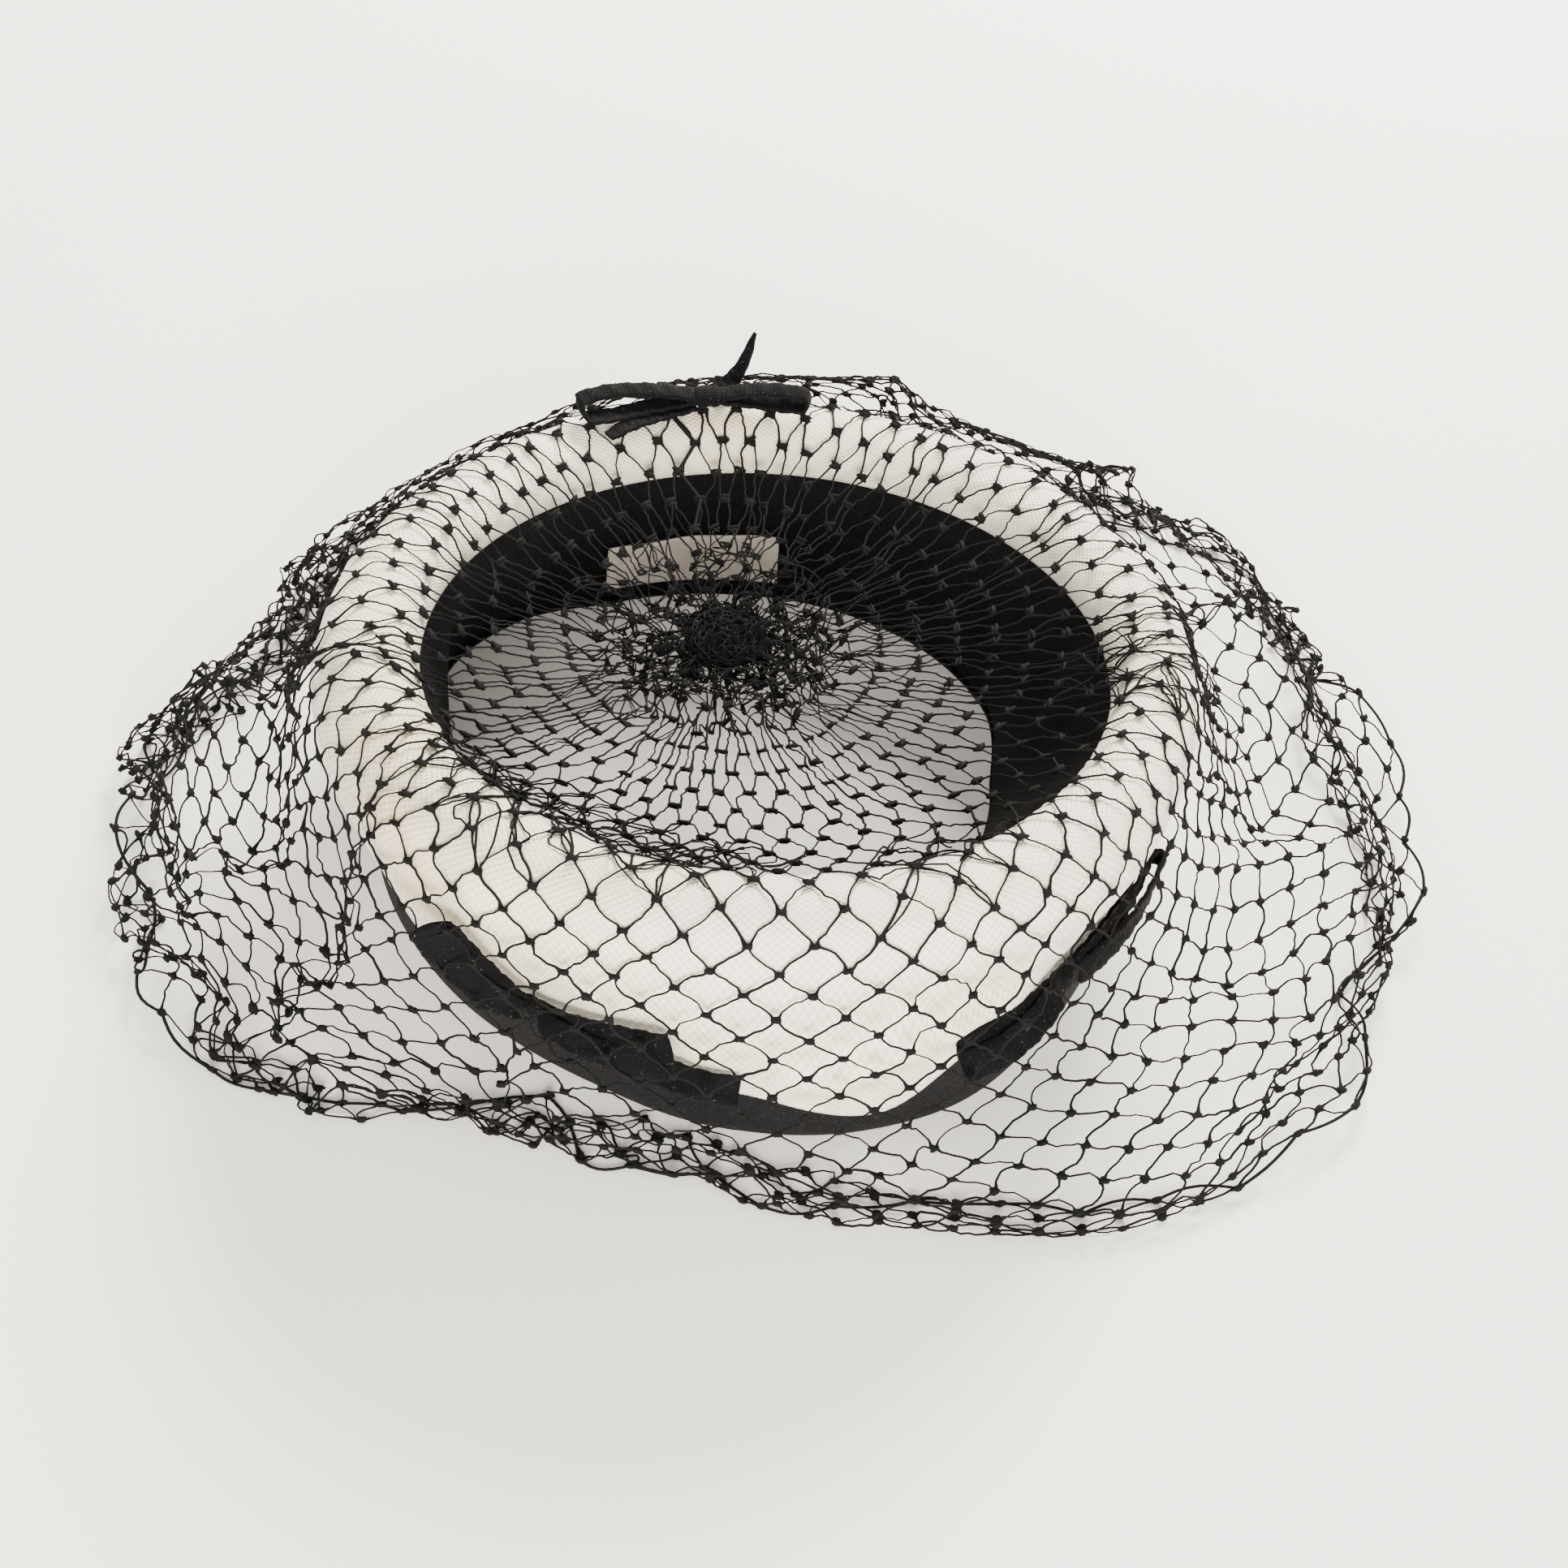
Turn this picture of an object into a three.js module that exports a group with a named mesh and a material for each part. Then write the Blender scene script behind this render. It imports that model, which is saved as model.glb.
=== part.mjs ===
import * as THREE from 'three';

// Pillbox hat with an open crown: a padded satin ring on a black base band, a black
// lining with a bare label, three velvet ribbon bows and a knotted net veil.
// Millimetres, +Z up, the front towards -Y. Angles are in degrees round the ring,
// anticlockwise from above: 0 is the wearer's left, 90 the back, 270 the front.

// Ring
const lipRadius = 82.8; // inner edge of the satin round the open crown
const lipHeight = 58; // mean height of that edge above the ground
const frontRise = 8.4; // the ring's plane climbs this much towards the front
const sideDrop = 2.6; // and falls this much towards 0 degrees
const rollWidth = 22.5; // from the lip out to the widest point
const rollRise = 12; // crest of the roll above the lip
const lipFace = 4; // upright strip of satin above the lip
const coverWall = 2.2;

// Base, lining and label
const baseRadius = 99.5; // outside of the base band
const headRadius = 88; // mean radius of the head opening
const bandWall = 2;
const footHeight = 2.2; // the band's edge turned in under the hat
const liningWall = 1.6;
const tuck = 5; // a lower piece goes this far up behind the satin's hem
const seamGap = 0.35;
const labelWidth = 46;
const labelHeight = 16;
const labelBase = 6.5; // lower edge of the label above the ground
const labelAngle = 91;
const labelWall = 1;

// Ribbon bows
const ribbonWidth = 6.8;
const ribbonWall = 1.2;
const knotLength = 10;
const knotHeight = 9;
const knotDepth = 5;
const bowSpan = 50; // about the longest end of a bow from its knot
const loopTurn = 1.2; // radius of the turn at the end of a loop
const loopPuff = 0.5; // the upper side of a loop lifts this much more
const loopLean = 30; // loops tip to face upwards by this angle
const bowGap = 0.6; // ribbons lie this far off the satin
const ribbonLap = 1.5; // a ribbon that passes over another lies this much higher

// Veil
const veilReach = 160; // mean distance of the hem from the ring's centre
const veilWall = 1.6;
const veilLift = 2.5; // middle of the veil above the satin
const bowRoom = 9.5; // middle of the veil out from the roll, clear of the bows
const gatherRadius = 10.5;
const gatherHeight = 46;
const gatherThick = 9;
const gatherAside = -6; // place of the gather from the ring's centre
const gatherBack = 21;
const meshesRound = 20;
const skirtRows = 3;
const crownRows = 2;
const meshOpen = 0.78; // share of a mesh that is cut through

const ringSteps = 48;
const toRadians = Math.PI / 180;

// Round the ring: roll is a share of rollWidth, base of baseRadius, head of headRadius,
// hem of lipHeight. The satin dips at the front and is caught up again beside it.
const ringTable = [
  { angle: 0, roll: 0.96, base: 0.93, head: 0.70, hem: 0.42 },
  { angle: 25, roll: 0.96, base: 0.96, head: 0.84, hem: 0.36 },
  { angle: 50, roll: 0.97, base: 0.98, head: 0.90, hem: 0.32 },
  { angle: 75, roll: 0.98, base: 0.99, head: 0.94, hem: 0.30 },
  { angle: 105, roll: 1.0, base: 1.02, head: 1.0, hem: 0.30 },
  { angle: 122, roll: 1.03, base: 1.05, head: 1.09, hem: 0.30 },
  { angle: 137, roll: 1.07, base: 1.06, head: 1.10, hem: 0.31 },
  { angle: 152, roll: 1.1, base: 1.03, head: 0.94, hem: 0.33 },
  { angle: 180, roll: 1.15, base: 0.97, head: 0.82, hem: 0.36 },
  { angle: 210, roll: 1.1, base: 0.94, head: 0.83, hem: 0.36 },
  { angle: 232, roll: 1.03, base: 0.93, head: 0.86, hem: 0.38 },
  { angle: 256, roll: 1.0, base: 0.975, head: 0.92, hem: 0.33 },
  { angle: 274, roll: 1.0, base: 1.0, head: 0.94, hem: 0.19 },
  { angle: 287, roll: 0.99, base: 1.0, head: 0.90, hem: 0.44 },
  { angle: 304, roll: 0.98, base: 0.96, head: 0.79, hem: 0.50 },
  { angle: 330, roll: 0.96, base: 0.93, head: 0.64, hem: 0.46 },
];

// The satin's outer side over the roll: out is a share of the roll's width from the lip,
// up a share of its rise above the lip.
const rollTable = [
  { out: 0.07, up: 0.58 },
  { out: 0.2, up: 0.84 },
  { out: 0.38, up: 0.97 },
  { out: 0.56, up: 1.0 },
  { out: 0.76, up: 0.84 },
  { out: 0.92, up: 0.44 },
  { out: 1.0, up: -0.3 },
];

// Soft dents in the satin's wall: depth is a share of coverWall, wide is in degrees.
const dentTable = [
  { angle: 214, wide: 9, depth: 0.5 },
  { angle: 288, wide: 6, depth: 0.9 },
  { angle: 352, wide: 11, depth: 0.4 },
  { angle: 128, wide: 12, depth: 0.4 },
];

// The veil's hem: reach is a share of veilReach, puff the height of the billow outside
// the ring as a share of lipHeight.
const hemTable = [
  { angle: 0, reach: 1.0, puff: 0.42 },
  { angle: 20, reach: 1.06, puff: 0.34 },
  { angle: 34, reach: 1.09, puff: 0.42 },
  { angle: 46, reach: 1.02, puff: 0.44 },
  { angle: 62, reach: 1.08, puff: 0.56 },
  { angle: 88, reach: 1.06, puff: 0.52 },
  { angle: 112, reach: 1.0, puff: 0.4 },
  { angle: 132, reach: 0.98, puff: 0.46 },
  { angle: 148, reach: 0.93, puff: 0.4 },
  { angle: 166, reach: 1.0, puff: 0.5 },
  { angle: 184, reach: 1.02, puff: 0.46 },
  { angle: 204, reach: 0.92, puff: 0.34 },
  { angle: 226, reach: 0.8, puff: 0.28 },
  { angle: 248, reach: 0.745, puff: 0.26 },
  { angle: 268, reach: 0.78, puff: 0.24 },
  { angle: 290, reach: 0.9, puff: 0.26 },
  { angle: 314, reach: 1.07, puff: 0.34 },
  { angle: 334, reach: 1.1, puff: 0.4 },
  { angle: 348, reach: 1.02, puff: 0.34 },
];

// Smooth value of one column at any angle of a table that runs round the ring.
function round(table, column, angle) {
  const turn = ((angle % 360) + 360) % 360;
  const count = table.length;
  let last = table.findLastIndex((row) => row.angle <= turn);
  if (last < 0) last = count - 1;
  const row = (step) => table[(last + step + count) % count];
  const span = (row(1).angle - row(0).angle + 360) % 360;
  const share = ((turn - row(0).angle + 360) % 360) / span;
  const [before, here, next, after] = [-1, 0, 1, 2].map((step) => row(step)[column]);
  const bend = 0.35;
  const leave = bend * (next - before);
  const arrive = bend * (after - here);
  const square = share * share;
  const cube = square * share;
  return (2 * cube - 3 * square + 1) * here + (cube - 2 * square + share) * leave
    + (3 * square - 2 * cube) * next + (cube - square) * arrive;
}

function lipZ(angle) {
  const across = Math.cos(angle * toRadians) * Math.tan(sideDrop * toRadians);
  const along = Math.sin(angle * toRadians) * Math.tan(frontRise * toRadians);
  return lipHeight - lipRadius * (across + along);
}

const baseOut = (angle) => baseRadius * round(ringTable, 'base', angle);
const headOut = (angle) => headRadius * round(ringTable, 'head', angle);
const hemZ = (angle) => lipHeight * round(ringTable, 'hem', angle);
const rollOut = (angle) => rollWidth * round(ringTable, 'roll', angle);

function dent(angle) {
  return dentTable.reduce((sum, row) => {
    const away = ((angle - row.angle + 540) % 360) - 180;
    return sum + row.depth * coverWall * Math.exp(-((away / row.wide) ** 2));
  }, 0);
}

// Outer side of the satin at one angle, from the lip over the roll down to the hem.
function coverLine(angle) {
  const lip = lipZ(angle);
  const wide = rollOut(angle);
  const hem = hemZ(angle);
  const hemOut = baseOut(angle) + seamGap + coverWall;
  const line = [[lipRadius, lip], [lipRadius, lip + lipFace]];
  for (const row of rollTable) {
    line.push([lipRadius + row.out * wide, lip + row.up * rollRise]);
  }
  const [out, up] = line.at(-1);
  const wallFoot = hem + tuck + 1;
  for (const share of [0.4, 0.75]) {
    const belly = Math.sin(share * Math.PI) * dent(angle);
    line.push([out + (hemOut - out) * share ** 1.5 - belly, up + (wallFoot - up) * share]);
  }
  line.push([hemOut, wallFoot], [hemOut, hem]);
  return line;
}

// The same line moved sideways by a distance, to its left as it runs.
function beside(line, distance) {
  const sharpest = 0.7; // keeps the mitre short at a tight corner
  const way = (from, to) => new THREE.Vector2(to[0] - from[0], to[1] - from[1]).normalize();
  return line.map((point, i) => {
    const before = way(line[Math.max(i - 1, 0)], point);
    const after = way(point, line[Math.min(i + 1, line.length - 1)]);
    const mean = before.clone().add(after).normalize();
    const mitre = Math.max(mean.dot(i > 0 ? before : after), sharpest);
    return [point[0] + mean.y * distance / mitre, point[1] - mean.x * distance / mitre];
  });
}

function coverSection(angle) {
  const line = coverLine(angle);
  return [...line, ...beside(line, coverWall).reverse()];
}

function bandSection(angle) {
  const out = baseOut(angle);
  const head = headOut(angle);
  const top = hemZ(angle) + tuck;
  return [
    [head, 0], [out, 0], [out, top], [out - bandWall, top],
    [out - bandWall, footHeight], [head, footHeight],
  ];
}

// Inner face of the lining: upright behind the lip, then swinging to the head opening.
function liningLine(angle) {
  const top = lipZ(angle) + lipFace - 1;
  const foot = footHeight + seamGap;
  const lipOut = lipRadius + coverWall + seamGap;
  const footOut = headOut(angle) + seamGap;
  const swing = (share) => THREE.MathUtils.smoothstep(share, 0.1, 1.05);
  return [0, 0.16, 0.45, 0.75, 1].map((share) => [
    lipOut + (footOut - lipOut) * swing(share) / swing(1),
    top + (foot - top) * share,
  ]);
}

function liningSection(angle) {
  const line = liningLine(angle);
  return [...line, ...line.map(([out, up]) => [out + liningWall, up]).reverse()];
}

function polar(angle, out, up) {
  const turn = angle * toRadians;
  return new THREE.Vector3(out * Math.cos(turn), out * Math.sin(turn), up);
}

// A closed mesh from points and faces of three or four corners, turned to face outwards.
function solid(points, faces) {
  const triangles = faces.flatMap((face) => (face.length === 3
    ? [face] : [[face[0], face[1], face[2]], [face[0], face[2], face[3]]]));
  const volume = triangles.reduce((sum, [a, b, c]) => sum
    + points[a].dot(points[b].clone().cross(points[c])), 0);
  const index = triangles.flatMap(([a, b, c]) => (volume > 0 ? [a, b, c] : [a, c, b]));
  const geometry = new THREE.BufferGeometry();
  const places = points.flatMap((point) => point.toArray());
  geometry.setAttribute('position', new THREE.Float32BufferAttribute(places, 3));
  geometry.setIndex(index);
  geometry.computeVertexNormals();
  return geometry;
}

// A closed section carried right round the ring.
function ringSolid(section) {
  const points = [];
  const faces = [];
  let size = 0;
  for (let step = 0; step < ringSteps; step += 1) {
    const angle = step * 360 / ringSteps;
    const loop = section(angle);
    size = loop.length;
    loop.forEach(([out, up]) => points.push(polar(angle, out, up)));
  }
  for (let step = 0; step < ringSteps; step += 1) {
    const next = (step + 1) % ringSteps;
    for (let i = 0; i < size; i += 1) {
      const j = (i + 1) % size;
      faces.push([step * size + i, step * size + j, next * size + j, next * size + i]);
    }
  }
  return solid(points, faces);
}

// A row of equal closed loops joined one to the next and closed at both ends.
function loftSolid(loops) {
  const size = loops[0].length;
  const faces = [];
  for (let k = 0; k + 1 < loops.length; k += 1) {
    for (let i = 0; i < size; i += 1) {
      const j = (i + 1) % size;
      faces.push([k * size + i, k * size + j, (k + 1) * size + j, (k + 1) * size + i]);
    }
  }
  const end = (loops.length - 1) * size;
  for (let i = 1; i + 1 < size; i += 1) {
    faces.push([0, i + 1, i], [end, end + i, end + i + 1]);
  }
  return solid(loops.flat(), faces);
}

// The label follows the lining's inner face.
function liningFace(angle, up) {
  const line = liningLine(angle);
  const k = Math.max(line.findIndex((point) => point[1] <= up), 1);
  const [above, below] = [line[k - 1], line[k]];
  return above[0] + (below[0] - above[0]) * (above[1] - up) / (above[1] - below[1]);
}

function labelSolid() {
  const steps = 8;
  const half = labelWidth / 2 / lipRadius / toRadians;
  const heights = [0, 0.5, 1].map((share) => labelBase + share * labelHeight);
  const loops = Array.from({ length: steps + 1 }, (_, i) => {
    const angle = labelAngle + half * (2 * i / steps - 1);
    const face = (up) => liningFace(angle, up) - seamGap * 1.6;
    const back = heights.map((up) => polar(angle, face(up), up));
    const front = heights.map((up) => polar(angle, face(up) - labelWall, up)).reverse();
    return [...back, ...front];
  });
  return loftSolid(loops);
}

// Outside of the dressed wall at a height, where the front bows lie.
function wallOut(angle, up) {
  const line = coverLine(angle).slice(2 + rollTable.length - 1);
  const k = line.findIndex((point) => point[1] <= up);
  if (k < 0) return line.at(-1)[0];
  if (k === 0) return line[0][0];
  const [above, below] = [line[k - 1], line[k]];
  return above[0] + (below[0] - above[0]) * (above[1] - up) / (above[1] - below[1]);
}

// Middle surface of the veil outside the crest, from its edge there down to the hem.
function skirtLine(angle) {
  const lip = lipZ(angle);
  const wide = rollOut(angle);
  const reach = veilReach * round(hemTable, 'reach', angle);
  const puff = lipHeight * round(hemTable, 'puff', angle);
  const side = lipRadius + wide + bowRoom;
  const foot = Math.max(reach, side + 2 * veilWall);
  return [
    [lipRadius + 0.4 * wide, lip + rollRise + veilLift],
    [lipRadius + 0.68 * wide, lip + 0.96 * rollRise + veilLift],
    [lipRadius + wide + 0.4 * veilLift, lip + 0.5 * rollRise + 0.7 * veilLift],
    [side, lip - 0.7 * rollRise],
    [side + 0.12 * (foot - side), 0.5 * (lip + puff) - 0.25 * rollRise],
    [side + 0.34 * (foot - side), puff],
    [side + 0.62 * (foot - side), puff * 0.92],
    [side + 0.86 * (foot - side), puff * 0.42],
    [foot, veilWall / 2],
  ];
}

function along(line, share) {
  const place = Math.min(share, 0.9999) * (line.length - 1);
  const k = Math.floor(place);
  const part = place - k;
  return [0, 1].map((i) => line[k][i] + (line[k + 1][i] - line[k][i]) * part);
}

function skirtPoint(turn, down) {
  const angle = turn * 360;
  const [out, up] = along(skirtLine(angle), down);
  return polar(angle, out, up);
}

// Middle surface of the veil over the open crown, down to its gathered centre.
function crownPoint(turn, down) {
  const angle = turn * 360;
  const [out, up] = skirtLine(angle)[0];
  const edge = polar(angle, out - veilWall - seamGap, up);
  const centre = polar(angle, gatherRadius + 2 * seamGap, gatherHeight);
  centre.x += gatherAside;
  centre.y += gatherBack;
  const place = edge.clone().lerp(centre, down);
  place.z = centre.z + (edge.z - centre.z) * (1 - down) ** 2;
  return place;
}

// A wall of knotted net: lozenge meshes in staggered rows, each cut through.
function netSolid(surface, rows, openEdge) {
  const levels = rows + 1;
  const split = 2;
  const spots = new Map();
  const flat = [];
  const faces = [];
  const spot = (turn, level) => {
    const wrapped = (turn + 4 * meshesRound) % meshesRound;
    const key = `${Math.round(wrapped * 1e4) % (meshesRound * 1e4)}/${Math.round(level * 1e4)}`;
    if (!spots.has(key)) {
      spots.set(key, flat.length);
      flat.push([wrapped / meshesRound, level / levels]);
    }
    return spots.get(key);
  };
  const frame = (corners) => {
    const middle = [0, 1].map((i) => corners.reduce((sum, c) => sum + c[i], 0) / corners.length);
    const shrink = (p) => p.map((value, i) => middle[i] + (value - middle[i]) * meshOpen);
    corners.forEach((corner, k) => {
      const next = corners[(k + 1) % corners.length];
      const at = (share) => corner.map((value, i) => value + (next[i] - value) * share);
      for (let s = 0; s < split; s += 1) {
        const [a, b] = [at(s / split), at((s + 1) / split)];
        faces.push([spot(...a), spot(...b), spot(...shrink(b)), spot(...shrink(a))]);
      }
    });
  };
  const plain = (first, second, tip) => {
    const at = (i, j) => [0, 1].map((k) => first[k]
      + ((second[k] - first[k]) * i + (tip[k] - first[k]) * j) / split);
    for (let j = 0; j < split; j += 1) {
      for (let i = 0; i + j < split; i += 1) {
        faces.push([spot(...at(i, j)), spot(...at(i + 1, j)), spot(...at(i, j + 1))]);
        if (i + j + 1 < split) {
          faces.push([spot(...at(i + 1, j)), spot(...at(i + 1, j + 1)), spot(...at(i, j + 1))]);
        }
      }
    }
  };
  for (let row = 1; row <= rows; row += 1) {
    for (let i = 0; i < meshesRound; i += 1) {
      const turn = i + (row % 2) / 2;
      frame([[turn, row - 1], [turn + 0.5, row], [turn, row + 1], [turn - 0.5, row]]);
    }
  }
  for (let i = 0; i < meshesRound; i += 1) {
    const turn = i + 0.5;
    const last = i + (rows % 2) / 2;
    plain([turn, 0], [turn + 1, 0], [turn + 0.5, 1]);
    const edge = [[last + 1, levels], [last, levels], [last + 0.5, rows]];
    if (openEdge) frame(edge);
    else plain(...edge);
  }
  return thickened(flat, faces, surface);
}

// Gives a wall its thickness either side of a surface, with edges round every hole.
function thickened(flat, faces, surface) {
  const step = 1e-3;
  const sides = [1, -1].map((side) => flat.map(([turn, down]) => {
    const here = surface(turn, down);
    const low = Math.max(down - step, 0);
    const high = Math.min(down + step, 1);
    const sweep = surface(turn + step, down).sub(surface(turn - step, down));
    const fall = surface(turn, high).sub(surface(turn, low));
    const normal = sweep.cross(fall).normalize();
    return here.addScaledVector(normal, side * veilWall / 2);
  }));
  const points = sides.flat();
  const count = flat.length;
  const pairs = faces.flatMap((face) => face.map((a, i) => [a, face[(i + 1) % face.length]]));
  const edges = new Set(pairs.map(([a, b]) => `${a}-${b}`));
  const walls = pairs
    .filter(([a, b]) => !edges.has(`${b}-${a}`))
    .map(([a, b]) => [b, a, a + count, b + count]);
  const under = faces.map((face) => face.map((corner) => corner + count).reverse());
  return solid(points, [...faces, ...under, ...walls]);
}

// The net drawn together into a crumpled button at the centre of the crown.
function gatherSolid() {
  const sides = 16;
  const profile = [
    { out: 0.35, up: 0.42 },
    { out: 0.75, up: 0.5 },
    { out: 0.98, up: 0.18 },
    { out: 1, up: -0.12 },
    { out: 0.78, up: -0.45 },
    { out: 0.36, up: -0.5 },
  ];
  const loops = profile.map(({ out, up }) => Array.from({ length: sides }, (_, i) => {
    const pucker = 1 - 0.08 * (i % 2) - 0.04 * ((i + 1) % 3);
    const reach = gatherRadius * out * pucker;
    const place = polar(i * 360 / sides, reach, gatherHeight + gatherThick * up);
    return place.add(new THREE.Vector3(gatherAside, gatherBack, 0));
  }));
  return loftSolid(loops);
}

// A bow's own directions: along the ring, across the ribbon's seat, and off the seat.
function bowSeat(bow) {
  return ([run, rise, off]) => {
    const angle = bow.angle + run / (lipRadius + rollWidth) / toRadians;
    if (bow.onTop) {
      const [edge, crest] = skirtLine(angle);
      const top = Math.max(edge[1], crest[1]) + veilWall / 2 + bowGap;
      return polar(angle, (edge[0] + crest[0]) / 2 - rise, top + off);
    }
    const up = bow.up + rise;
    return polar(angle, wallOut(angle, up) + bowGap + off, up);
  };
}

// A ribbon along a path of [run, rise, off] places, flat side to the seat.
function ribbonSolid(bow, piece, path) {
  const seat = bowSeat(bow);
  const half = ribbonWidth / 2;
  const lean = (piece.lean ?? 0) * toRadians;
  const length = Math.hypot(piece.run, piece.rise);
  const across = new THREE.Vector3(
    -Math.cos(lean) * piece.rise / length,
    Math.cos(lean) * piece.run / length,
    -Math.sin(lean) * piece.run / length,
  );
  const loops = path.map(([run, rise, up, taper = 1], k) => {
    const from = new THREE.Vector3(...path[Math.max(k - 1, 0)].slice(0, 3));
    const to = new THREE.Vector3(...path[Math.min(k + 1, path.length - 1)].slice(0, 3));
    const off = across.clone().cross(to.sub(from)).normalize();
    return [[1, 1], [-1, 1], [-1, -1], [1, -1]].map(([side, face]) => {
      const corner = new THREE.Vector3(run, rise, up)
        .addScaledVector(across, side * half * taper)
        .addScaledVector(off, face * ribbonWall / 2);
      return seat(corner.toArray());
    });
  });
  return loftSolid(loops);
}

// A loop leaves the knot next to its seat, turns over at its end and comes back above.
function loopPath(piece) {
  const tipped = ribbonWidth / 2 * Math.sin((piece.lean ?? 0) * toRadians);
  const low = ribbonWall / 2 + tipped + (piece.over ? ribbonLap : 0);
  const high = low + 2 * loopTurn;
  const share = Math.hypot(piece.run, piece.rise);
  const length = share * bowSpan;
  const start = knotLength / 2 + seamGap + ribbonWall / 2;
  const at = (reach, off) => [piece.run * reach / share, piece.rise * reach / share, off];
  const turn = [-60, -20, 20, 60].map((step) => {
    const out = loopTurn * Math.cos(step * toRadians);
    const up = loopTurn * Math.sin(step * toRadians);
    return at(length - loopTurn + out, low + loopTurn + up);
  });
  const sides = [0, 0.25, 0.5, 0.75, 1];
  const run = (part) => start + (length - loopTurn - start) * part;
  const puff = (part) => loopPuff * Math.sin(part * Math.PI);
  return [
    ...sides.map((part) => at(run(part), low)),
    ...turn,
    ...sides.toReversed().map((part) => at(run(part), high + puff(part))),
  ];
}

function tailPath(piece) {
  const { tip = 1, lift = 0, sag = 0 } = piece;
  const low = ribbonWall / 2;
  const length = Math.hypot(piece.run, piece.rise) * bowSpan;
  const start = (knotLength / 2 + seamGap + ribbonWall / 2) / length;
  return [0, 0.25, 0.5, 0.75, 1].map((share) => {
    const reach = bowSpan * (start + (1 - start) * share);
    const drop = bowSpan * sag * Math.sin(share * Math.PI);
    const off = low + bowSpan * lift * share ** 2;
    return [piece.run * reach, piece.rise * reach - drop, off, 1 + (tip - 1) * share ** 3];
  });
}

function knotSolid(bow) {
  const seat = bowSeat(bow);
  const rings = [-1, -0.72, 0, 0.72, 1];
  const loops = rings.map((share) => Array.from({ length: 8 }, (_, i) => {
    const bend = (i + 0.5) * Math.PI / 4;
    const girth = Math.sqrt(1.04 - 0.72 * share * share);
    return seat([
      share * knotLength / 2,
      girth * knotHeight / 2 * Math.cos(bend),
      knotDepth / 2 * (1 + girth * Math.sin(bend) / Math.sqrt(1.04)),
    ]);
  }));
  return loftSolid(loops);
}

// Each bow: angle and height of its knot, and where each piece ends from the knot,
// along the ring and up it, in shares of bowSpan.
const bows = [
  {
    name: 'bow_front_left', angle: 227.5, up: lipHeight * 0.53,
    loops: [
      { name: 'loop_up', run: -0.44, rise: 0.46, over: true },
      { name: 'loop_right', run: 0.74, rise: 0.2, over: true, lean: loopLean },
    ],
    tails: [
      { name: 'tail_right', run: 1.04, rise: -0.08, sag: 0.02 },
      { name: 'tail_left', run: -0.34, rise: -0.14 },
    ],
  },
  {
    name: 'bow_front_right', angle: 301, up: lipHeight * 0.57,
    loops: [
      { name: 'loop_left', run: -0.66, rise: -0.04, lean: loopLean },
      { name: 'loop_right', run: 0.94, rise: 0.06, over: true },
    ],
    tails: [{ name: 'tail_right', run: 1.06, rise: -0.12, tip: 0.25 }],
  },
  {
    name: 'bow_back', angle: 88, onTop: true,
    loops: [
      { name: 'loop_left', run: 0.76, rise: -0.02, over: true },
      { name: 'loop_right', run: -0.6, rise: 0.04, over: true },
    ],
    tails: [
      { name: 'tail_left', run: 0.68, rise: 0.16, tip: 0.7 },
      { name: 'tail_spike', run: -0.28, rise: -0.26, tip: 0.15, lift: 0.24 },
    ],
  },
];

const paint = (colour, roughness) => new THREE.MeshStandardMaterial({
  color: colour, roughness, metalness: 0, side: THREE.FrontSide,
});
const satin = paint(0xe9e0cd, 0.45);
const grosgrain = paint(0x17171a, 0.8);
const liningCloth = paint(0x0b0b0c, 0.9);
const labelCloth = paint(0xcfc6b8, 0.75);
const velvet = paint(0x101014, 0.95);
const netThread = paint(0x1b1b1e, 0.7);

const hat = new THREE.Group();

function add(name, geometry, material) {
  const mesh = new THREE.Mesh(geometry, material);
  mesh.name = name;
  hat.add(mesh);
}

add('satin_cover', ringSolid(coverSection), satin);
add('base_band', ringSolid(bandSection), grosgrain);
add('lining', ringSolid(liningSection), liningCloth);
add('label', labelSolid(), labelCloth);
for (const bow of bows) {
  add(`${bow.name}_knot`, knotSolid(bow), velvet);
  for (const piece of bow.loops) {
    add(`${bow.name}_${piece.name}`, ribbonSolid(bow, piece, loopPath(piece)), velvet);
  }
  for (const piece of bow.tails) {
    add(`${bow.name}_${piece.name}`, ribbonSolid(bow, piece, tailPath(piece)), velvet);
  }
}
add('veil_skirt', netSolid(skirtPoint, skirtRows, true), netThread);
add('veil_crown', netSolid(crownPoint, crownRows, false), netThread);
add('veil_gather', gatherSolid(), netThread);

// The origin is the middle of the bounding box at ground level.
const bounds = new THREE.Box3().setFromObject(hat);
const middle = bounds.getCenter(new THREE.Vector3());
hat.position.set(-middle.x, -middle.y, -bounds.min.z);

export default hat;
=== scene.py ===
import math

import bmesh
import bpy
import numpy as np
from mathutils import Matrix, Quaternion, Vector


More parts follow.
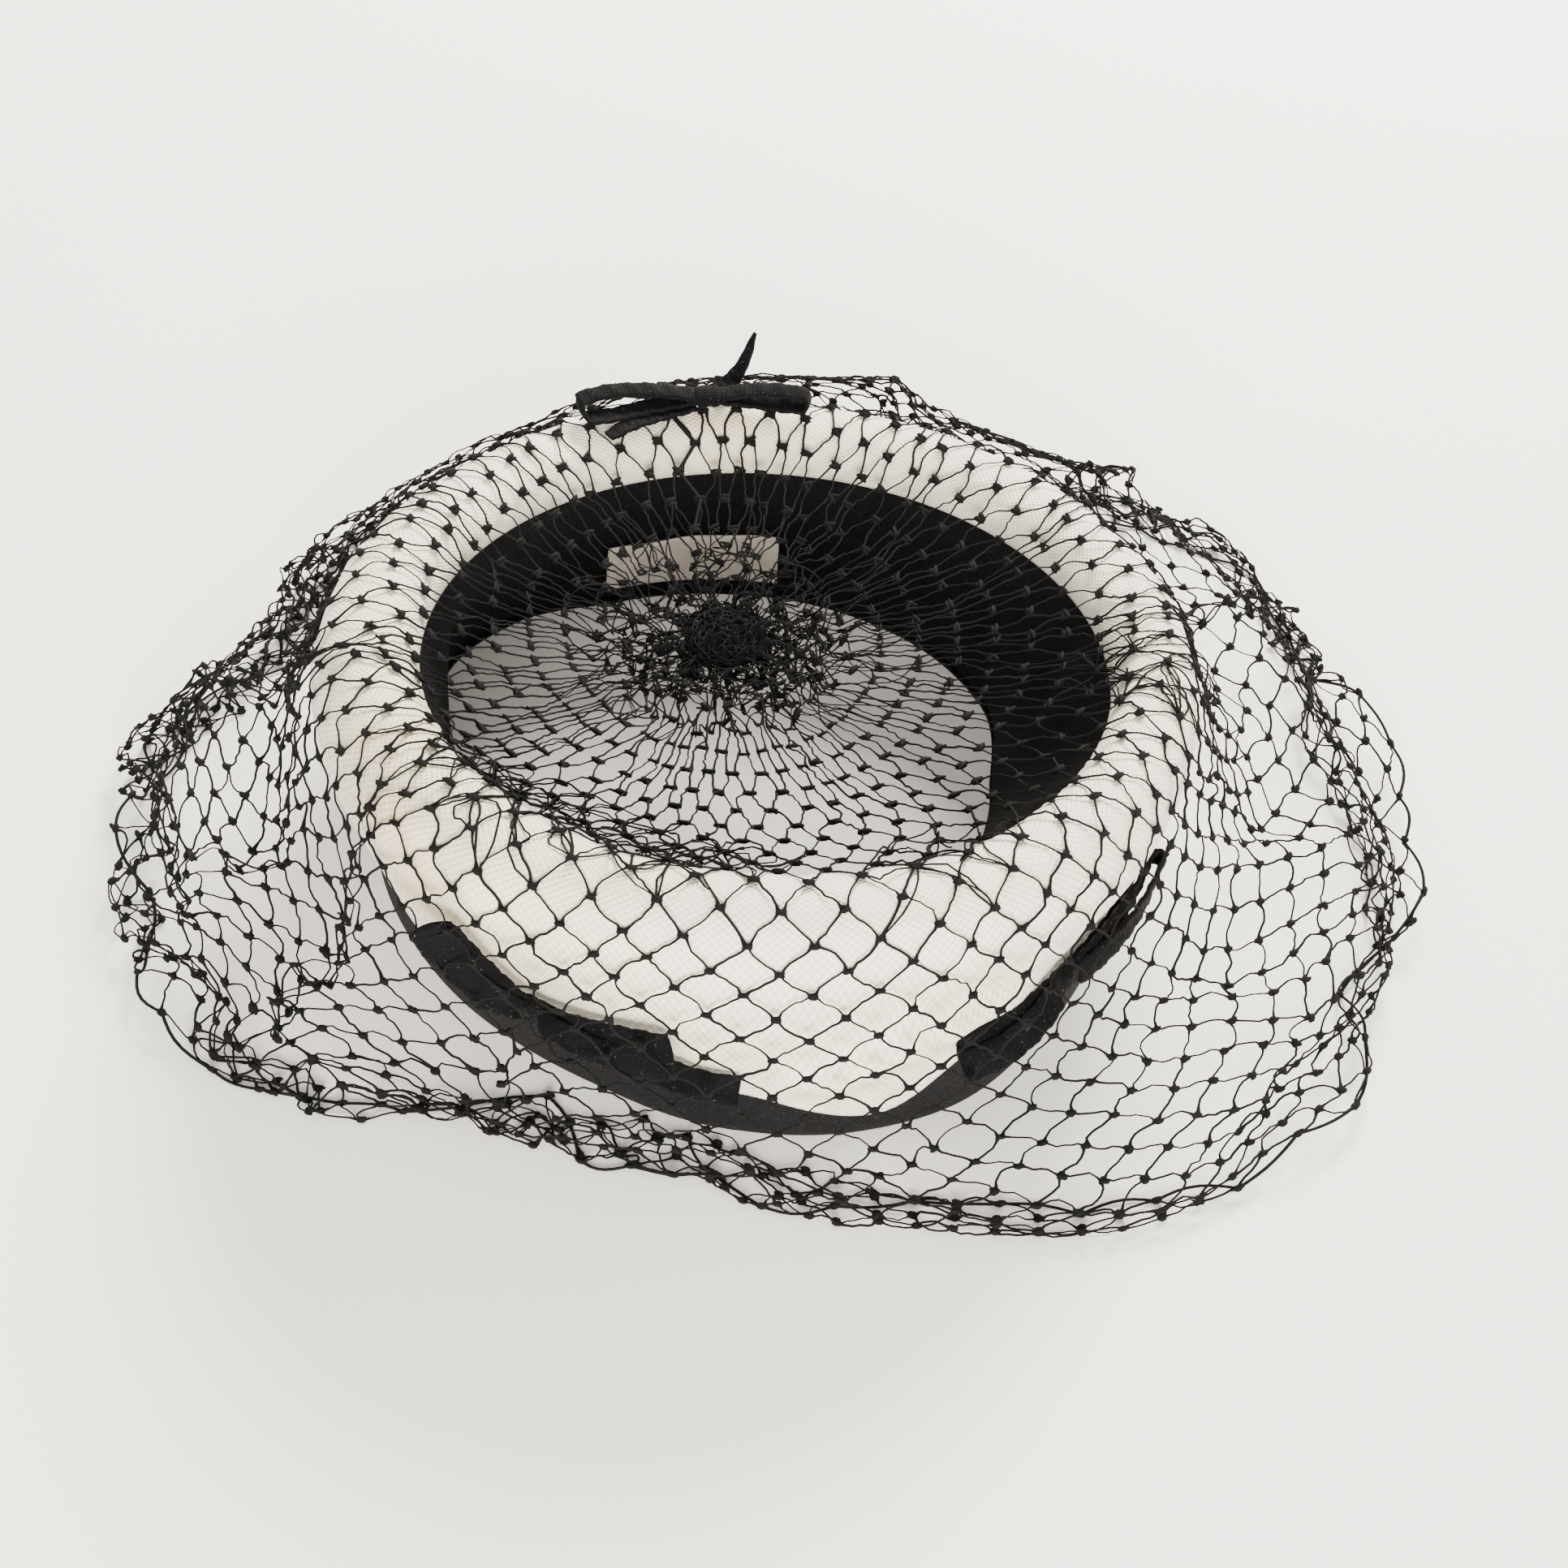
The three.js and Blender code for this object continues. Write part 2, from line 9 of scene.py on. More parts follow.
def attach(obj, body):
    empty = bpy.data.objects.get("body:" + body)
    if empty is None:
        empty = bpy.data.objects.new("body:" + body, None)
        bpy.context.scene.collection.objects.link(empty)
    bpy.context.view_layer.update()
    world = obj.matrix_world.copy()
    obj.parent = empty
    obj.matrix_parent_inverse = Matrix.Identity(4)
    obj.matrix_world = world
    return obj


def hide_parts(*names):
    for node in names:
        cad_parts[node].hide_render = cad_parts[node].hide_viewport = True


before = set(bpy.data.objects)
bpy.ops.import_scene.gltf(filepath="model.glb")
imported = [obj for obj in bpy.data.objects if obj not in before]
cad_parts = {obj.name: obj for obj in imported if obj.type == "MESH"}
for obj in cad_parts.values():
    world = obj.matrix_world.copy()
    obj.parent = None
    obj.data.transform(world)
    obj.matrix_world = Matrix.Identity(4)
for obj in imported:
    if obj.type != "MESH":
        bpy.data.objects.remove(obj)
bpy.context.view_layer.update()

mm = 0.001
print("frame loaded")

camera = {
    "place": (-0.11027, -0.46282, 0.51762),
    "aim": (0.01033, -0.00533, 0.0),
    "roll": 4.0,
    "lens": 62.01,
    "sensor": 36.0,
}


def setCamera():
    lens = bpy.data.cameras.new("photoCamera")
    lens.sensor_fit = "HORIZONTAL"
    lens.sensor_width = camera["sensor"]
    lens.lens = camera["lens"]
    lens.clip_start = 0.01
    seen = bpy.data.objects.new("photoCamera", lens)
    bpy.context.scene.collection.objects.link(seen)
    aim = Vector(camera["aim"]) - Vector(camera["place"])
    turn = aim.to_track_quat("-Z", "Y") @ Quaternion((0, 0, 1), math.radians(camera["roll"]))
    seen.rotation_mode = "QUATERNION"
    seen.rotation_quaternion = turn
    seen.location = camera["place"]
    bpy.context.scene.camera = seen


setCamera()
print("camera set")


class Wire:
    # a socket of a finish, so that sums on its value read as plain arithmetic
    def __init__(self, finish, socket):
        self.finish = finish
        self.socket = socket

    def math(self, operation, *values, clamp=False):
        return self.finish.add("ShaderNodeMath", {"operation": operation, "use_clamp": clamp},
                               dict(enumerate(values)))

    def __add__(self, other):
        return self.math("ADD", self, other)

    def __radd__(self, other):
        return self.math("ADD", other, self)

    def __sub__(self, other):
        return self.math("SUBTRACT", self, other)

    def __rsub__(self, other):
        return self.math("SUBTRACT", other, self)

    def __mul__(self, other):
        return self.math("MULTIPLY", self, other)

    def __truediv__(self, other):
        return self.math("DIVIDE", self, other)

    def sine(self):
        return self.math("SINE", self)

    def clamped(self):
        return self.math("ADD", self, 0.0, clamp=True)


class Finish:
    # a procedural material; its nodes all come from add
    def __init__(self, name, **shader):
        self.material = bpy.data.materials.new(name)
        self.material.use_nodes = True
        self.nodes = self.material.node_tree.nodes
        self.links = self.material.node_tree.links
        self.shader = next(n for n in self.nodes if n.type == "BSDF_PRINCIPLED")
        for socket, value in shader.items():
            self.shader.inputs[socket].default_value = value

    def add(self, kind, settings=None, values=None, output=0):
        node = self.nodes.new(kind)
        for key, value in (settings or {}).items():
            setattr(node, key, value)
        for socket, value in (values or {}).items():
            self.feed(node.inputs[socket], value)
        return Wire(self, node.outputs[output])

    def feed(self, socket, value):
        if isinstance(value, Wire):
            self.links.new(value.socket, socket)
        else:
            socket.default_value = value

    def place(self):
        return self.add("ShaderNodeTexCoord", output=3)

    def cloth(self):
        flat = self.add("ShaderNodeUVMap", {"uv_map": "weave"})
        return [self.add("ShaderNodeSeparateXYZ", values={0: flat}, output=i) for i in (0, 1)]

    def noise(self, size, detail=3.0, place=None):
        return self.add("ShaderNodeTexNoise", values={
            "Vector": place or self.place(), "Scale": 1 / size, "Detail": detail, "Roughness": 0.55})

    def blob(self, centre, wide):
        # 1 at a point of the piece, falling to 0 at a distance
        away = self.add("ShaderNodeVectorMath", {"operation": "DISTANCE"},
                        {0: self.place(), 1: centre}, output=1)
        return (1 - away / wide).clamped()

    def mix(self, share, first, second):
        return self.add("ShaderNodeMix", {"data_type": "RGBA"}, {0: share, 6: first, 7: second}, output=2)

    def finish(self, colour, roughness, height=None, depth=0.0002, strength=0.5):
        self.feed(self.shader.inputs["Base Color"], colour)
        self.feed(self.shader.inputs["Roughness"], roughness)
        if height is not None:
            bump = self.add("ShaderNodeBump", values={
                "Strength": strength, "Distance": depth, "Height": height})
            self.feed(self.shader.inputs["Normal"], bump)
        return self.material


def rgb(red, green, blue):
    return (red, green, blue, 1.0)


def tableOf(columns, *rows):
    names = columns.split()
    return [dict(zip(names, row)) for row in rows]


def turnTo(angle, start):
    # from one angle to another the shorter way round, in degrees
    return ((angle - start + 540) % 360) - 180


def lineOf(points):
    # (out, up) points as one array, a line for each angle
    return np.stack([np.stack(point, -1) for point in points], -2)


def unit(vectors):
    return vectors / (np.linalg.norm(vectors, axis=-1, keepdims=True) + 1e-9)


def smooth(t):
    return t * t * (3 - 2 * t)


ring = {
    "centre": (0.9231, -16.8496),
    "lipRadius": 82.8,
    "lipHeight": 58.0,
    "frontRise": 8.4,
    "sideDrop": 2.6,
    "rollWidth": 22.5,
    "rollRise": 12.0,
    "lipFace": 4.0,
    "coverWall": 2.2,
    "baseRadius": 99.5,
    "headRadius": 88.0,
    "footHeight": 2.2,
    "liningWall": 1.6,
    "tuck": 5.0,
    "seamGap": 0.35,
    "steps": 288,
}
ringTable = tableOf(
    "angle roll base head hem",
    (0, 0.96, 0.93, 0.70, 0.42),
    (25, 0.96, 0.96, 0.84, 0.36),
    (50, 0.97, 0.98, 0.90, 0.32),
    (75, 0.98, 0.99, 0.94, 0.30),
    (105, 1.0, 1.02, 1.0, 0.30),
    (122, 1.03, 1.05, 1.09, 0.30),
    (137, 1.07, 1.06, 1.10, 0.31),
    (152, 1.1, 1.03, 0.94, 0.33),
    (180, 1.15, 0.97, 0.82, 0.34),
    (210, 1.1, 0.94, 0.83, 0.31),
    (232, 1.03, 0.93, 0.86, 0.38),
    (256, 1.0, 0.975, 0.92, 0.33),
    (274, 1.0, 1.0, 0.94, 0.19),
    (287, 0.99, 1.0, 0.90, 0.44),
    (304, 0.98, 0.96, 0.79, 0.50),
    (330, 0.96, 0.93, 0.64, 0.46),
)
# points of the roll: share of rollWidth outwards, share of rollRise upwards
rollTable = [(0.07, 0.58), (0.2, 0.84), (0.38, 0.97), (0.56, 1.0), (0.76, 0.84), (0.92, 0.44), (1.0, -0.3)]
# soft dents of the wall: angle, half width in degrees, depth in walls
dentTable = [(214, 9, 0.5), (288, 6, 0.9), (352, 11, 0.4), (128, 12, 0.4)]


def cubic(share, first, leave, second, arrive):
    square, cube = share ** 2, share ** 3
    return ((2 * cube - 3 * square + 1) * first + (cube - 2 * square + share) * leave
            + (3 * square - 2 * cube) * second + (cube - square) * arrive)


def around(table, column, angle):
    # smooth value of one column at any angle of a table that runs round the ring
    turns = np.array([row["angle"] for row in table], float)
    values = np.array([row[column] for row in table], float)
    count = len(turns)
    turn = np.mod(angle, 360.0)
    last = (np.searchsorted(turns, turn, side="right") - 1) % count
    step = lambda k: (last + k) % count
    span = np.mod(turns[step(1)] - turns[step(0)], 360.0)
    share = np.mod(turn - turns[step(0)], 360.0) / span
    before, here, following, after = (values[step(k)] for k in (-1, 0, 1, 2))
    leave, arrive = 0.35 * (following - before), 0.35 * (after - here)
    return cubic(share, here, leave, following, arrive)


def lipZ(angle):
    turn = np.radians(angle)
    slope = (np.cos(turn) * math.tan(math.radians(ring["sideDrop"]))
             + np.sin(turn) * math.tan(math.radians(ring["frontRise"])))
    return ring["lipHeight"] - ring["lipRadius"] * slope


def baseOut(angle):
    return ring["baseRadius"] * around(ringTable, "base", angle)


def headOut(angle):
    return ring["headRadius"] * around(ringTable, "head", angle)


def hemZ(angle):
    return ring["lipHeight"] * around(ringTable, "hem", angle)


def rollOut(angle):
    return ring["rollWidth"] * around(ringTable, "roll", angle)


def coverLine(angle):
    # outer side of the satin from the lip over the roll to the hem, as (out, up) points
    angle = np.asarray(angle, float)
    lip, wide, hem = lipZ(angle), rollOut(angle), hemZ(angle)
    hemOut = baseOut(angle) + ring["seamGap"] + ring["coverWall"]
    inner = ring["lipRadius"] + 0 * angle
    line = [(inner, lip), (inner, lip + ring["lipFace"])]
    line += [(inner + out * wide, lip + up * ring["rollRise"]) for out, up in rollTable]
    out, up = line[-1]
    foot = hem + ring["tuck"] + 1
    dent = sum(depth * ring["coverWall"] * np.exp(-(turnTo(angle, at) / wide) ** 2)
               for at, wide, depth in dentTable)
    for share in (0.4, 0.75):
        belly = math.sin(share * math.pi) * dent
        line.append((out + (hemOut - out) * share ** 1.5 - belly, up + (foot - up) * share))
    line += [(hemOut, foot), (hemOut, hem)]
    return lineOf(line)


def liningLine(angle):
    angle = np.asarray(angle, float)
    top = lipZ(angle) + ring["lipFace"] - 1
    foot = ring["footHeight"] + ring["seamGap"]
    lipOut = ring["lipRadius"] + ring["coverWall"] + ring["seamGap"]
    footOut = headOut(angle) + ring["seamGap"]
    ease = lambda share: smooth(min(max((share - 0.1) / 0.95, 0), 1))
    line = [(lipOut + (footOut - lipOut) * ease(share) / ease(1), top + (foot - top) * share)
            for share in (0, 0.16, 0.45, 0.75, 1)]
    return lineOf(line)


def bandLine(angle):
    angle = np.asarray(angle, float)
    head, out = headOut(angle), baseOut(angle)
    top = hemZ(angle) + ring["tuck"]
    flat = 0 * out
    line = [(head, flat), ((head + out) / 2, flat), (out - 2.5, flat), (out - 0.6, flat + 0.5),
            (out, flat + 2.2), (out, 0.5 * top), (out, top)]
    return lineOf(line)


def smoothAlong(line, share):
    # a curve through the points of a line, one line and one share for each row
    count = line.shape[-2] - 1
    place = np.clip(share, 0, 0.99999) * count
    k = place.astype(int)
    t = (place - k)[:, None]
    row = np.arange(len(k))
    p = [line[row, np.clip(k + step, 0, count)] for step in (-1, 0, 1, 2)]
    return (p[1] + 0.5 * t * (p[2] - p[0] + t * (2 * p[0] - 5 * p[1] + 4 * p[2] - p[3]
            + t * (3 * (p[1] - p[2]) + p[3] - p[0]))))


def outAt(lines, up):
    # how far out each line lies at a height; the lines run downwards
    return np.array([np.interp(-z, -line[:, 1], line[:, 0]) for z, line in zip(up, lines)])


def heading(line, share):
    # which way a line runs at a share of it, as (out, up) of length 1
    ahead = smoothAlong(line, np.minimum(share + 0.01, 1)) - smoothAlong(line, np.maximum(share - 0.01, 0))
    return unit(ahead[:, :2])


def polar(angle, out, up):
    turn = np.radians(angle)
    x = out * np.cos(turn) + ring["centre"][0]
    y = out * np.sin(turn) + ring["centre"][1]
    return np.stack([x, y, up + 0 * x], -1) * mm


def newPiece(name, mesh, finish, nodes):
    piece = bpy.data.objects.new(name, mesh)
    bpy.context.scene.collection.objects.link(piece)
    piece.data.materials.clear()
    piece.data.materials.append(finish)
    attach(piece, "root")
    if nodes:
        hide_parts(*nodes)
    return piece


def toMesh(bm, name):
    mesh = bpy.data.meshes.new(name)
    bm.to_mesh(mesh)
    bm.free()
    for face in mesh.polygons:
        face.use_smooth = True
    return mesh


def flatSpots(bm):
    return np.array([vert.co for vert in bm.verts])


def moveTo(bm, places):
    for vert, place in zip(bm.verts, places):
        vert.co = place


def layWeave(bm, weaveOf):
    # the weave's (u, v) in metres, from where each vertex lies while the piece is flat
    weave = bm.loops.layers.uv.new("weave")
    for face in bm.faces:
        for loop in face.loops:
            loop[weave].uv = weaveOf(loop.vert.co)


def ringCloth(name, surface, shares, girth, depth, outward=True):
    # a profile of a few vertices spun right round, and each vertex then laid on the surface
    bm = bmesh.new()
    rail = [bm.verts.new((1.0, 0.0, -share)) for share in shares]
    edges = [bm.edges.new(pair) for pair in zip(rail, rail[1:])]
    bmesh.ops.spin(bm, geom=rail + edges, cent=(0, 0, 0), axis=(0, 0, 1), dvec=(0, 0, 0),
                   angle=math.tau, steps=ring["steps"], use_merge=True, use_duplicate=False)
    weave = bm.loops.layers.uv.new("weave")
    for face in bm.faces:
        middle = face.calc_center_median()
        home = math.atan2(middle.y, middle.x)
        for loop in face.loops:
            turn = math.atan2(loop.vert.co.y, loop.vert.co.x)
            turn = home + (turn - home + math.pi) % math.tau - math.pi
            loop[weave].uv = (turn * girth, -loop.vert.co.z * depth)
    flat = flatSpots(bm)
    moveTo(bm, surface(np.degrees(np.arctan2(flat[:, 1], flat[:, 0])), -flat[:, 2]))
    bm.normal_update()
    centre = Vector((ring["centre"][0] * mm, ring["centre"][1] * mm, 0))
    facing = sum(face.normal.dot(face.calc_center_median() - centre) * face.calc_area()
                 for face in bm.faces if abs(face.normal.z) < 0.7)
    if (facing > 0) != outward:
        bmesh.ops.reverse_faces(bm, faces=bm.faces)
    return toMesh(bm, name)


def thicken(piece, wall):
    solid = piece.modifiers.new("wall", "SOLIDIFY")
    solid.thickness = wall * mm
    solid.offset = -1.0


# satin cover
satin = {
    "colour": (0.93, 0.88, 0.76),
    "shade": (0.88, 0.81, 0.66),
    "aged": (0.86, 0.74, 0.50),
    "stain": (0.68, 0.52, 0.29),
    # the thread colour is painted shade, laid into the troughs between the weave's raised dots
    "thread": (0.55, 0.50, 0.40),
    "weave": 0.001,
    "wall": 1.4,
    "sag": 0.45,
    "girth": 0.097,
    "depth": 0.082,
}
# a crease runs between two places (angle, share of the way from lip to hem)
creases = tableOf(
    "from to wide lift",
    ((293, 0.86), (275, 0.765), 3.2, 2.6),
    ((276, 0.76), (260, 0.875), 3.2, 2.6),
    ((292, 0.88), (277, 0.97), 2.2, 0.8),
    ((244, 0.74), (251, 0.95), 3.0, 0.5),
    ((216, 0.30), (221, 0.80), 5.0, 0.7),
    ((333, 0.35), (338, 0.85), 6.0, 0.7),
    ((196, 0.25), (201, 0.70), 5.0, 0.6),
    ((262, 0.12), (266, 0.40), 4.0, 0.3),
    ((72, 0.20), (69, 0.45), 4.0, 0.5),
    ((110, 0.22), (116, 0.5), 4.0, 0.5),
    ((152, 0.3), (149, 0.8), 5.0, 0.7),
    ((24, 0.3), (20, 0.7), 5.0, 0.6),
)
# slow ripples of the cloth: count round the ring, phase, drift down the wall, size
ripples = [(7, 0.4, 2.1, 0.5), (13, 1.9, -3.0, 0.32), (23, 4.4, 4.2, 0.2), (41, 0.9, -5.0, 0.1)]
# stained and yellowed places: angle, out and up in mm, radius in m, strength
stains = [(203, 97, 66, 0.034, 1), (212, 104, 52, 0.028, 1), (222, 103, 42, 0.02, 0.7),
          (88, 88, 62, 0.03, 0.7)]
yellowed = [(200, 100, 55, 0.085, 1), (85, 92, 66, 0.05, 0.6)]


def satinLift(angle, share):
    # how far the cloth stands out of its plain line, in mm
    lift = np.zeros_like(angle)
    scale = np.array([satin["girth"] / mm * math.tau / 360, satin["depth"] / mm])
    for crease in creases:
        start, end = (np.array(crease[key], float) for key in ("from", "to"))
        way = np.array([turnTo(end[0], start[0]), end[1] - start[1]]) * scale
        offset = np.stack([turnTo(angle, start[0]), share - start[1]], -1) * scale
        length = np.linalg.norm(way)
        run = offset @ way / length
        side = (offset[:, 1] * way[0] - offset[:, 0] * way[1]) / length / crease["wide"]
        ends = np.clip((run + 0.3 * length) / (0.5 * length), 0, 1)
        ends = ends * np.clip((1.3 * length - run) / (0.5 * length), 0, 1)
        lift += crease["lift"] * ends * (np.exp(-(side + 0.6) ** 2) - 0.9 * np.exp(-(side - 0.6) ** 2))
    turn = np.radians(angle)
    for count, phase, drift, size in ripples:
        lift += satin["sag"] * size * np.sin(count * turn + phase + drift * share)
    gather = np.exp(-((share - 0.1) / 0.07) ** 2)
    lift += 0.16 * gather * np.sin(150 * turn + 3 * np.sin(9 * turn))
    return lift * np.clip(share / 0.12, 0, 1) * np.clip((1.06 - share) / 0.12, 0, 1)


def satinSurface(angle, share):
    line = coverLine(angle)
    place, ahead = smoothAlong(line, share), heading(line, share)
    lift = satinLift(angle, share)
    return polar(angle, place[:, 0] - ahead[:, 1] * lift, place[:, 1] + ahead[:, 0] * lift)


def marks(finish, spots):
    # several blobs added up, each with its strength
    blobs = [finish.blob(polar(angle, out, up), wide) * strength
             for angle, out, up, wide, strength in spots]
    return sum(blobs[1:], start=blobs[0])


def satinFinish():
    finish = Finish("ivorySatin", **{
        "Specular IOR Level": 0.42, "Sheen Weight": 0.25, "Sheen Roughness": 0.4})
    x, y = finish.cloth()
    pitch = math.pi / satin["weave"]
    wander = finish.noise(0.012, 2.0) * 0.5
    dots = (x * pitch + wander).sine() * (y * pitch + wander).sine()
    cloudy = finish.noise(0.035)
    fine = finish.noise(0.0016, 2.0)
    blotch = (marks(finish, stains) * (finish.noise(0.009) * 2.2 - 0.5).clamped()).clamped()
    shade = (cloudy * 1.6 - 0.5).clamped() * 0.55
    colour = finish.mix(shade, rgb(*satin["colour"]), rgb(*satin["shade"]))
    aged = (marks(finish, yellowed) * (cloudy + 0.35)).clamped()
    colour = finish.mix(aged * 0.8, colour, rgb(*satin["aged"]))
    colour = finish.mix(blotch, colour, rgb(*satin["stain"]))
    # the troughs between the weave's dots are darkened towards the thread colour: painted shade between the
    # raised threads
    colour = finish.mix((0.5 - dots * 0.5) * 0.75, colour, rgb(*satin["thread"]))
    rough = 0.4 + fine * 0.16 - dots * 0.12
    return finish.finish(colour, rough, dots * 0.5 + fine * 0.4, depth=0.0002, strength=1.0)


def makeSatin():
    shares = np.concatenate([np.linspace(0, 1 / 12, 4)[:-1], np.linspace(1 / 12, 1, 52)])
    mesh = ringCloth("satinCover", satinSurface, shares, satin["girth"], satin["depth"])
    piece = newPiece("satinCover", mesh, satinFinish(), ["satin_cover"])
    thicken(piece, satin["wall"])


makeSatin()
print("satin cover made")


# base band
band = {
    "colour": (0.003, 0.003, 0.0035),
    "rib": 0.0007,
    "wall": 1.4,
    "slant": 0.8,
    "sheen": 0.02,
    "lint": 0.2,
    "girth": 0.096,
    "depth": 0.052,
}


def bandSurface(angle, share):
    place = smoothAlong(bandLine(angle), share)
    turn = np.radians(angle)
    ripple = 0.35 * np.sin(11 * turn + 0.6) + 0.25 * np.sin(19 * turn + 2.0)
    out = place[:, 0] + ripple * np.clip((share - 0.5) * 4, 0, 1) * (1 - share)
    return polar(angle, out, np.maximum(place[:, 1], 0.05))


def ribFinish(name, cloth):
    finish = Finish(name, **{
        "Sheen Weight": cloth["sheen"], "Sheen Roughness": 0.5, "Specular IOR Level": 0.12})
    x, y = finish.cloth()
    ribs = ((x + y * cloth["slant"]) * (math.tau / cloth["rib"])).sine()
    cross = (y * (math.tau / (cloth["rib"] * 0.9))).sine()
    cloudy = finish.noise(0.014)
    fluff = (finish.noise(0.0006, 1.0) * 5 - 3.1).clamped() * cloth["lint"]
    tone = rgb(*(2.6 * part for part in cloth["colour"]))
    # worn is partly real wear from the cloudy noise and partly painted light: the rib term lightens the rib
    # crests and darkens the grooves between them
    worn = (cloudy * 1.4 - 0.4).clamped() * 0.6 + ribs * 0.15 + 0.1
    mixed = finish.mix(worn, rgb(*cloth["colour"]), tone)
    mixed = finish.mix(fluff, mixed, rgb(0.16, 0.155, 0.15))
    height = ribs * 0.5 + cross * 0.25 + finish.noise(0.0005, 1.0) * 0.4
    return finish.finish(mixed, 0.72 + cloudy * 0.2, height, depth=0.0002, strength=0.7)


def makeBand():
    shares = np.concatenate([np.linspace(0, 0.35, 6)[:-1], np.linspace(0.35, 1, 22)])
    mesh = ringCloth("baseBand", bandSurface, shares, band["girth"], band["depth"])
    piece = newPiece("baseBand", mesh, ribFinish("blackGrosgrain", band), ["base_band"])
    thicken(piece, band["wall"])


makeBand()
print("base band made")


# lining
lining = {
    "colour": (0.002, 0.002, 0.0022),
    "rib": 0.0006,
    "slant": 0.0,
    "sheen": 0.02,
    "lint": 0.12,
    "girth": 0.085,
    "depth": 0.056,
}


def liningSurface(angle, share):
    place = smoothAlong(liningLine(angle), share)
    turn = np.radians(angle)
    soft = 0.35 * np.sin(17 * turn + 1.3 + 2 * share) + 0.25 * np.sin(29 * turn + 3 * share)
    return polar(angle, place[:, 0] - soft * np.sin(math.pi * share), place[:, 1])


def makeLining():
    shares = np.linspace(0, 1, 24)
    mesh = ringCloth("liningCloth", liningSurface, shares, lining["girth"], lining["depth"], outward=False)
    piece = newPiece("liningCloth", mesh, ribFinish("blackLining", lining), ["lining"])
    thicken(piece, ring["liningWall"])


makeLining()
print("lining made")


# label
label = {
    "width": 46.0,
    "height": 16.0,
    "base": 6.5,
    "angle": 91.0,
    "wall": 0.7,
    "weave": (0.0006, 0.0005),
    "colour": (0.80, 0.73, 0.67),
    "dirt": (0.52, 0.43, 0.37),
}


def labelSurface(across, rise):
    turn = label["angle"] + np.degrees(across * label["width"] / ring["lipRadius"])
    up = label["base"] + rise * label["height"]
    curl = 0.5 * np.exp(-((rise - 1) / 0.2) ** 2) + 0.35 * np.sin(9 * across) * rise
    out = outAt(liningLine(turn), up) - 2 * ring["seamGap"] - label["wall"] - curl * 0.8
    return polar(turn, out, up + 0.3 * np.sin(14 * across + 1) * rise)


def makeLabel():
    bm = bmesh.new()
    bmesh.ops.create_grid(bm, x_segments=46, y_segments=16, size=0.5, calc_uvs=False)
    layWeave(bm, lambda spot: (spot.x * label["width"] * mm, spot.y * label["height"] * mm))
    flat = flatSpots(bm)
    moveTo(bm, labelSurface(flat[:, 0], flat[:, 1] + 0.5))
    bm.normal_update()
    if sum(face.normal.y for face in bm.faces) > 0:
        bmesh.ops.reverse_faces(bm, faces=bm.faces)
    finish = Finish("labelCloth", **{"Sheen Weight": 0.2, "Specular IOR Level": 0.3})
    x, y = finish.cloth()
    wide, high = label["weave"]
    ribs = (x * (math.tau / wide)).sine() * (y * (math.tau / high)).sine()
    dirt = (finish.noise(0.006) * 2.0 - 0.7).clamped()
    colour = finish.mix(dirt * 0.8, rgb(*label["colour"]), rgb(*label["dirt"]))
    material = finish.finish(colour, 0.8 - ribs * 0.05, ribs + finish.noise(0.001))
    piece = newPiece("labelCloth", toMesh(bm, "labelCloth"), material, ["label"])
    thicken(piece, label["wall"])


makeLabel()
print("label made")


# ribbon bows
ribbon = {
    "width": 7.2,
    "wall": 0.9,
    "room": 1.2,
    "turn": 1.5,
    "puff": 1.1,
    "cup": 0.5,
    "gap": 0.6,
    "lap": 1.5,
    "span": 50.0,
    "knot": (10.0, 9.0, 5.0),
    "knotGirth": 0.022,
    "underKnot": 1.2,
    "rib": 0.0009,
    "rest": 1.0,
    "colour": (0.003, 0.003, 0.0035),
    # edge is the lighter colour of both the real worn nap and the painted highlight along the ribbon's
    # sides
    "edge": (0.006, 0.006, 0.0065),
    "lint": (0.2, 0.19, 0.18),
}
leaning = {"lean": 42.0}
# run and rise: where an end lies from the knot, along the ring and up it, in shares of span;
# spread parts the two sides of a loop, tip is the width of a pointed end
bows = [
    {"name": "frontLeft", "node": "bow_front_left", "angle": 227.5, "up": 30.74, "pieces": [
        {"node": "loop_up", "run": -0.4, "rise": 0.5, "loop": True, "over": True, "spread": 0.2, **leaning},
        {"node": "loop_right", "run": 0.74, "rise": 0.2, "loop": True, "over": True,
         "spread": -0.17, **leaning},
        {"node": "tail_right", "run": 1.04, "rise": -0.08, "sag": 0.02, **leaning},
        {"node": "tail_left", "run": -0.34, "rise": -0.14, **leaning},
    ]},
    {"name": "frontRight", "node": "bow_front_right", "angle": 301, "up": 33.06, "pieces": [
        {"node": "loop_left", "run": -0.66, "rise": -0.04, "loop": True, "spread": 0.12, **leaning},
        {"node": "loop_right", "run": 0.92, "rise": 0.05, "loop": True, "over": True,
         "lean": 20.0, "slim": 0.85},
        {"node": "tail_right", "run": 1.06, "rise": -0.1, "tip": 0.2, "slim": 0.85},
    ]},
    {"name": "back", "node": "bow_back", "angle": 88, "onTop": True, "slim": 0.72, "pieces": [
        {"node": "loop_left", "run": 0.76, "rise": -0.02, "loop": True, "over": True, "spread": -0.24},
        {"node": "loop_right", "run": -0.6, "rise": 0.04, "loop": True, "over": True, "spread": 0.12},
        {"node": "tail_left", "run": 0.68, "rise": 0.16, "tip": 0.7},
        {"node": "tail_spike", "run": -0.28, "rise": -0.26, "tip": 0.15, "lift": 0.24},
    ]},
]


def wallOut(angle, up):
    # how far out the satin wall lies at a height
    return outAt(coverLine(angle)[:, 1 + len(rollTable):], up)


